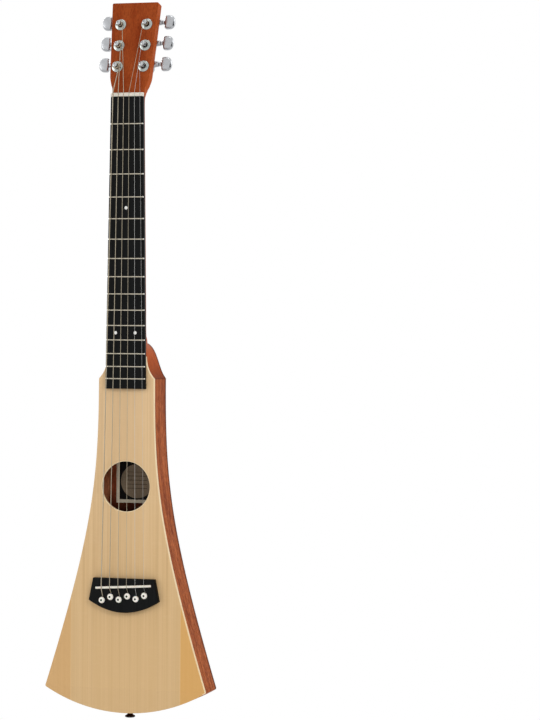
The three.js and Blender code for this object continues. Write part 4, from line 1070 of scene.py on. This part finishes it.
def string_path(i):
    """From the pin's hole over the saddle and the nut to the turns round the post."""
    radius = GAUGES[i] / 2
    x, y, z = saddle_x(i), saddle_y(i), saddle_z(saddle_x(i))
    foot, ramp, hole_z = x + SLOT_SHIFT, radius + GAP - BRIDGE_HEIGHT, pin_z(i) + PIN_RADIUS + GAP + radius
    points = [Vector((foot, height, hole_z + up)) for height, up in
              ((6, 0), (ramp + 2, 0), (ramp + 0.9, 0.1), (ramp + 0.25, 0.5), (ramp, 1.1))]
    start, over = Vector((foot - 0.15, ramp, pin_z(i) + 4.3)), Vector((x, y, z - 0.9))
    points += [start.lerp(over, t) for t in (0, 0.15, 0.85)]
    points += [Vector((x, y + drop, z + up)) for drop, up in ((0.12, -0.8), (0, -0.1), (0, 0.9))]
    near, far = points[-1], Vector((nut_x(i), nut_y(i), 0))
    points += [near.lerp(far, t) for t in spread(0, 1, 40)[1:-1]]
    points += [far + Vector(step) for step in ((0, 0, 0), (0, 0, 2.5), (0, 0.1, NUT_THICKNESS))]
    return points + coil(i, points[-1])


def coil(i, last):
    """The turns round the post, from where the string that leaves the nut at last touches it."""
    coil_top, turns, steps = 8, 2.5, 24
    side, s = TUNERS[-1 - i][1:]
    radius = GAUGES[i] / 2
    reach = POST_WAIST + GAP + radius
    leave = Matrix.Rotation(TILT, 3, "X") @ (last - Vector((0, 0, BEND_Z)))
    to = Vector((side * POST_X - leave.x, s - leave.z))
    heading = math.atan2(to.y, to.x) + side * math.asin(reach / to.length)
    pitch = GAUGES[i] + 0.45
    points = []
    for k in range(int(turns * steps) + 1):
        angle = heading + side * (math.pi / 2 - TAU * k / steps)
        height = coil_top - radius - GAP - pitch * (turns - k / steps)
        x, up = side * POST_X + reach * math.cos(angle), s + reach * math.sin(angle)
        points.append(Vector(head(x, -height, up)))
    return points


def string_look(number):
    """A string's material and slot."""
    return (BRONZE, "wound_string") if number > len(GAUGES) - WOUND else (WIRE, "plain_string")


def strings():
    for i in STRINGS:
        number = len(GAUGES) - i
        mesh(f"string_{number}_wire", tube(string_path(i), GAUGES[i] / 2, 12), *string_look(number),
             [f"string_{number}"], angle=60)


# Tuners, each drawn about its post with the button to the right

CASE_FRONT, CASE_BACK = HEAD_THICKNESS + 0.02, 23.25
SCREW_PLACE = step_by(0, CASE_FRONT, -8.3)


def rounded(points, radii, steps=5):
    """Rounds each corner of a closed outline to its radius."""
    count = len(points)
    out = []
    for i, radius in enumerate(radii):
        p, a, b = Vector(points[i]), Vector(points[i - 1]), Vector(points[(i + 1) % count])
        da, db = (a - p).normalized(), (b - p).normalized()
        corner = math.acos(max(-1, min(1, da.dot(db))))
        if radius <= 0 or corner > math.pi - 0.01:
            out.append(tuple(p))
            continue
        setback = min(radius / math.tan(corner / 2), (a - p).length * 0.49, (b - p).length * 0.49)
        start, end = p + da * setback, p + db * setback
        out += [tuple(bezier([start, p, end], t)) for t in spread(0, 1, steps)]
    return out


def shrink(points, inset):
    """Moves a closed outline inwards by inset."""
    count = len(points)
    area = sum(points[i - 1][0] * points[i][1] - points[i][0] * points[i - 1][1] for i in range(count))
    sign = 1 if area > 0 else -1
    out = []
    for i in range(count):
        a, p, b = Vector(points[i - 1]), Vector(points[i]), Vector(points[(i + 1) % count])
        along = (p - a).normalized() + (b - p).normalized()
        along = along.normalized() if along.length > 1e-9 else (b - p).normalized()
        out.append(tuple(p + Vector((-along.y, along.x)) * sign * inset))
    return out


def tuner_case():
    """The gear case with its domed back, the lug for its screw, and the arm round the button's shaft."""
    half, top, middle = 7.5, 13.1, 4.2
    corners = [(half, top), (-half, top), (-half, 1.2), (-4.6, -3.4), (0, -5.6), (4.6, -3.4), (half, 1.2)]
    outline = rounded(corners, [1.2, 1.2, 4, 3, 3, 3, 4], 8)
    levels = [(CASE_FRONT, 0)] + [(CASE_BACK - down, inset) for down, inset in
                                  ((1.7, 0), (1.0, 0.22), (0.5, 0.7), (0.2, 1.4), (0.06, 2.4), (0, 4.2))]
    case = loft([[(a * (1 - inset / half), y, middle + (b - middle) * (1 - inset / (top - middle)))
                  for a, b in outline] for y, inset in levels])
    corners = [(-6.6, -1.0), (-1.9, -9.9), (1.9, -9.9), (6.6, -1.0), (3, 2), (-3, 2)]
    foot = rounded(corners, [1, 2.2, 2.2, 1, 0, 0])
    lug = loft([[(a, CASE_FRONT + y, b) for a, b in shrink(foot, inset)]
                for y, inset in ((0, 0), (2.2, 0), (2.5, 0.12), (2.65, 0.4))])
    arm = round_bar([(4.5, 4.7), (7.6, 4.4), (9, 3.9), (11, 3.5), (13.2, 3.3), (13.8, 3.1), (14.0, 2.7)], 32,
                    CASE_FRONT)
    return join(case, lug, arm)


def tuner_screw():
    return moved(lathe([(0, 3.0), (0.8, 2.95), (1.35, 2.75), (1.5, 2.4), (1.5, 0)], 24), SCREW_PLACE)


def tuner_washer():
    """The washer on the headstock's face, and the bushing that lines the hole behind it."""
    lip = [(3.75, 7.5), (3.75, -1.3), (3.85, -1.7), (4.05, -1.9), (4.35, -1.88), (4.65, -1.6), (4.85, -1.3)]
    flange = [(5.3, -1.2), (6.4, -1.12), (7.0, -0.9), (7.3, -0.5), (7.35, -0.02)]
    return lathe(lip + flange + [(4.5, -0.02), (4.5, 7.5)], 48, True)


def tuner_shaft():
    """The string post, with a waist for the turns of string and a hollow in its top."""
    waist = [(3.0, -2.0), (2.75, -2.4), (POST_WAIST, -3.0), (POST_WAIST, -8.2), (2.75, -8.6), (3.0, -8.9)]
    end = [(3.0, -9.6), (2.8, -10.1), (2.4, -10.35), (1.6, -10.4), (1.3, -9.6), (0, -9.5)]
    return lathe([(0, 20.6), (2.4, 20.6), (3.0, 20.0)] + waist + end, 40)


def wire_end(number, side):
    """The string's end across the top of the post, turned another way on each one."""
    path = [(-4.4, -9.0, 0.4), (-3.4, -8.6, 0.3), (-2, -8.4, 0.1), (2, -8.4, -0.1), (3.2, -8.7, -0.3),
            (4.2, -9.4, -0.6)]
    turn = Matrix.Rotation(0.9 * side + 0.4 * number, 4, "Y")
    return moved(tube(path, GAUGES[-number] / 2, 10), turn)


def tuner_handle():
    """The handle with its rounded outline and faces, and the turned stem between it and the case."""
    length, start = 13.9, 17.1
    edge = [(0, 0), (0.3, 4.9), (1.0, 7.9), (2.6, 9.0), (5.5, 9.1), (8.7, 8.8), (11.3, 7.3), (13.1, 4.4),
            (length, 0)]
    half = [curve_through(edge, t) for t in spread(0, 1, 30)]
    outline = [(a - length / 2, b) for a, b in half + [(a, -b) for a, b in reversed(half[1:-1])]]
    face = [(-4.3, 0.70), (-4.1, 0.78), (-3.5, 0.88), (-2.4, 0.955), (-1.1, 0.99)]
    levels = face + [(0, 1)] + [(-y, size) for y, size in reversed(face)]
    handle = loft([[(start + length / 2 + a * size, GEAR_Y + y, GEAR_Z + b * size) for a, b in outline]
                   for y, size in levels])
    stem = round_bar([(13.9, 1.95), (14.3, 2.0), (14.5, 2.6), (15.2, 2.9), (16.4, 2.5), (17.6, 2.6),
                      (18.6, 3.2), (20.0, 3.3)], 28)
    return join(handle, stem)


def tuner(number, side, s):
    """One tuner. Its handle turns with the button, and its shaft and the wire's end turn with the post."""
    button, post = f"tuner_{number}_button", f"tuner_{number}_post"

    def add(kind, shape, material, slot="tuner_chrome", **more):
        return mesh(f"tuner_{number}_{kind}", on_head(shape, side, s), material, slot, **more)

    add("case", tuner_case(), SATIN, replaces=[f"tuner_{number}_housing"])
    add("screw", tuner_screw(), CHROME, angle=50)
    # The cross is painted shade: dark bars for the shadowed slots in the screw's head.
    add("screw_cross", screw_cross(1.0, 2.7, 3.02, 0.32, 0.5, SCREW_PLACE), METAL_SHADE, angle=50)
    washer = add("washer", tuner_washer(), WASHER, replaces=[f"tuner_{number}_bushing"], extra=[METAL_SHADE])
    middle = Vector(head(side * POST_X, 0, s))
    along = (Vector(head(side * POST_X, 1, s)) - middle).normalized()
    # Painted shade: the washer's faces within 3.95 mm of the post's axis take the dark metal, a dark ring in
    # the gap round the post.
    paint(washer, 1, lambda place, out: (place - middle).cross(along).length < 3.95)
    add("shaft", tuner_shaft(), CHROME, body=post, replaces=[post], angle=45)
    add("wire_end", wire_end(number, side), *string_look(number), body=post, angle=60)
    add("handle", tuner_handle(), SATIN, body=button, replaces=[button])


# Strap buttons and small pieces


def strap_button(name, node, place, material):
    """A flanged button and its screw, drawn from its seat out to its head at -8 mm."""
    profile = [(0, -7.1), (2.2, -7.1), (2.6, -7.5), (3.6, -7.98), (5.2, -7.9), (6.1, -7.5), (6.55, -6.9),
               (6.6, -6.3), (6.2, -5.6), (4.9, -4.9), (3.8, -4.2), (3.4, -3.4), (3.5, -2.4), (4.0, -1.2),
               (4.7, -0.25), (4.75, -0.02), (1.9, -0.02), (1.85, 14), (0, 16)]
    mesh(name, moved(lathe(profile, 48), place), material, "chrome", [node])
    screw = lathe([(0, -7.75), (1.2, -7.7), (2.0, -7.45), (2.35, -7.15), (2.35, -6.9)], 32)
    mesh(name + "_screw", moved(screw, place), STEEL, "chrome", angle=50)
    # Its cross is painted shade: dark bars for the shadowed slots in the screw's head.
    mesh(name + "_cross", screw_cross(1.5, -7.82, -7.3, 0.56, 0.6, place), METAL_SHADE, "chrome", angle=30)


def heel_depth(row):
    """The neck's depth at a row of the heel."""
    place, deep = HEEL[row][:2]
    return lerp(neck_depth(HEEL_Z - place * HEEL_LENGTH), BODY_DEPTH, deep)


def strap_buttons():
    """One in the middle of the tail, and one halfway down the heel, square to its slope there."""
    tail_y = 22
    seat = step_by(0, tail_y, TAIL_Z) @ Matrix.Rotation(math.pi / 2, 4, "X")
    strap_button("tail_button", "strap_button_tail", seat, BLACK_CHROME)
    above, below = heel_depth(2), heel_depth(3)
    slope = math.atan2(below - above, 0.2 * HEEL_LENGTH)
    middle = step_by(0, (above + below) / 2, HEEL_Z - 0.5 * HEEL_LENGTH)
    seat = middle @ Matrix.Rotation(math.pi + slope, 4, "X")
    strap_button("heel_button", "strap_button_heel", seat, CHROME)


def dots():
    """One halfway to the fifth fret from the fourth, and two before the twelfth."""
    reach = 12.8
    for node, x, n in (("position_dot_5", 0, 5), ("position_dot_12_bass", -reach, 12),
                       ("position_dot_12_treble", reach, 12)):
        place = step_by(x, board_top(x), (fret_z(n) + fret_z(n - 1)) / 2)
        shape = lathe([(0, -0.06), (1.9, -0.05), (2.15, 0.02), (2.15, 1.4)])
        mesh(node + "_inlay", moved(shape, place), PEARL, "pearl", [node])


def dress_rest():
    """New finishes for the nodes that keep their own shape."""
    low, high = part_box("label")
    label = paper("label_paper", (high.x - low.x) / 2, low.z, high.z)
    for name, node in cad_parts.items():
        if node.hide_render:
            continue
        finish = label if name == "label" else LINING if name.startswith("lining") else INNER
        node.data.materials.clear()
        node.data.materials.append(finish)


# Stage, in metres


def sheet(name, corners, material):
    data = bpy.data.meshes.new(name)
    data.from_pydata(corners, [], [[0, 1, 2, 3]])
    data.materials.append(material)
    return placed(name, data)


def floor():
    """A pale floor below the object, which far away turns into the white backdrop."""
    reach, height = 9.0, -1.16
    look = Look("floor_pale")
    grit = look.noise((30, 30, 30), 3)
    look.set(Base_Color=look.ramp(grit, (0.3, (243, 243, 243)), (0.7, (250, 250, 250))), Roughness=0.9,
             Specular_IOR_Level=0.1)
    white = look.node("ShaderNodeEmission", {"Color": (1, 1, 1, 1)})
    away = look.math("DIVIDE", look.hypot(look.axis("X"), look.axis("Y")), 3.0)
    ray = look.node("ShaderNodeLightPath").outputs
    seen = look.math("MAXIMUM", ray["Is Camera Ray"], ray["Is Glossy Ray"])
    share = look.math("MULTIPLY", look.ramp(away, (0.28, 0.0), (0.62, 1.0)), seen)
    blend = look.node("ShaderNodeMixShader", [share, look.shader.outputs[0], white.outputs[0]])
    look.put(look.tree.nodes["Material Output"].inputs["Surface"], blend.outputs[0])
    corners = [(x * reach, y * reach, height) for x, y in ((-1, -1), (1, -1), (1, 1), (-1, 1))]
    sheet("floor", corners, look.material)


def dark_card():
    """A dark card beside the object for the bright metal to mirror. The camera doesn't see it."""
    look = Look("card_black")
    nap = look.noise((40, 40, 40), 3)
    look.set(Base_Color=look.ramp(nap, (0.3, (14, 14, 15)), (0.7, (24, 24, 25))), Roughness=0.95,
             Specular_IOR_Level=0.0)
    corners = [(2.6, y, z) for y, z in ((-1.3, -1.3), (3.2, -1.3), (3.2, 0.7), (-1.3, 0.7))]
    card = sheet("dark_card", corners, look.material)
    card.visible_camera = card.visible_diffuse = card.visible_shadow = card.visible_transmission = False


def backdrop():
    """A white world. It lights the object at half the strength with which it is seen and mirrored."""
    world = bpy.data.worlds.new("studio")
    bpy.context.scene.world = world
    world.use_nodes = True
    nodes = Nodes(world.node_tree)
    ray = nodes.node("ShaderNodeLightPath").outputs
    mirrored = nodes.math("MAXIMUM", ray["Is Glossy Ray"], ray["Is Transmission Ray"])
    seen = nodes.math("MAXIMUM", ray["Is Camera Ray"], mirrored)
    level = nodes.node("ShaderNodeMapRange", {"Value": seen, "To Min": 0.50, "To Max": 1.0})
    background = nodes.tree.nodes["Background"]
    nodes.put(background.inputs["Color"], (1, 1, 1, 1))
    nodes.put(background.inputs["Strength"], level.outputs[0])


def lamps():
    """Round lamps that face the middle of the object. The key lamp isn't mirrored, so it leaves no glare."""
    middle = Vector((0, 0, -0.35))
    for name, place, size, power in (
            ("key", (2.2, -2.4, 1.2), 1.6, 37),
            ("fill", (-2.4, -2.1, 0.5), 1.8, 21),
            ("back_key", (-2.2, 2.4, 1.0), 1.6, 38),
            ("back_fill", (2.0, 2.4, 0.6), 1.8, 16),
            ("top", (0.2, -0.2, 2.4), 1.4, 12)):
        data = bpy.data.lights.new(name, "AREA")
        data.shape = "DISK"
        data.size = size
        data.energy = power
        lamp = placed(name, data)
        lamp.location = place
        lamp.visible_glossy = name != "key"
        lamp.rotation_mode = "QUATERNION"
        lamp.rotation_quaternion = (middle - Vector(place)).to_track_quat("-Z", "Y")


def camera():
    """The photograph's camera, fitted to the frets, the nut, the bridge and the body's corners."""
    yaw, pitch, roll = math.radians(16.4637), math.radians(-0.7363), math.radians(0.4113)
    place = step_by(1.0978, -3.07986, -0.28664)
    data = bpy.data.cameras.new("camera")
    data.sensor_width = 36
    data.lens = 130.127
    data.clip_start = 0.05
    data.clip_end = 100
    forward = Vector((-math.sin(yaw) * math.cos(pitch), math.cos(yaw) * math.cos(pitch), math.sin(pitch)))
    level = Vector((math.cos(yaw), math.sin(yaw), 0))
    plumb = level.cross(forward)
    right = level * math.cos(roll) + plumb * math.sin(roll)
    up = plumb * math.cos(roll) - level * math.sin(roll)
    made = placed("camera", data)
    made.matrix_world = place @ Matrix((right, up, -forward)).transposed().to_4x4()
    bpy.context.scene.camera = made


bpy.context.scene.view_settings.view_transform = "Standard"
camera()
soundboard()
back()
side(1, "treble_side", "side_treble")
side(-1, "bass_side", "side_bass")
neck()
fingerboard()
frets()
nut()
bridge()
saddle()
pins()
strings()
for number, sign, place in TUNERS:
    tuner(number, sign, place)
strap_buttons()
dots()
dress_rest()
floor()
dark_card()
backdrop()
lamps()
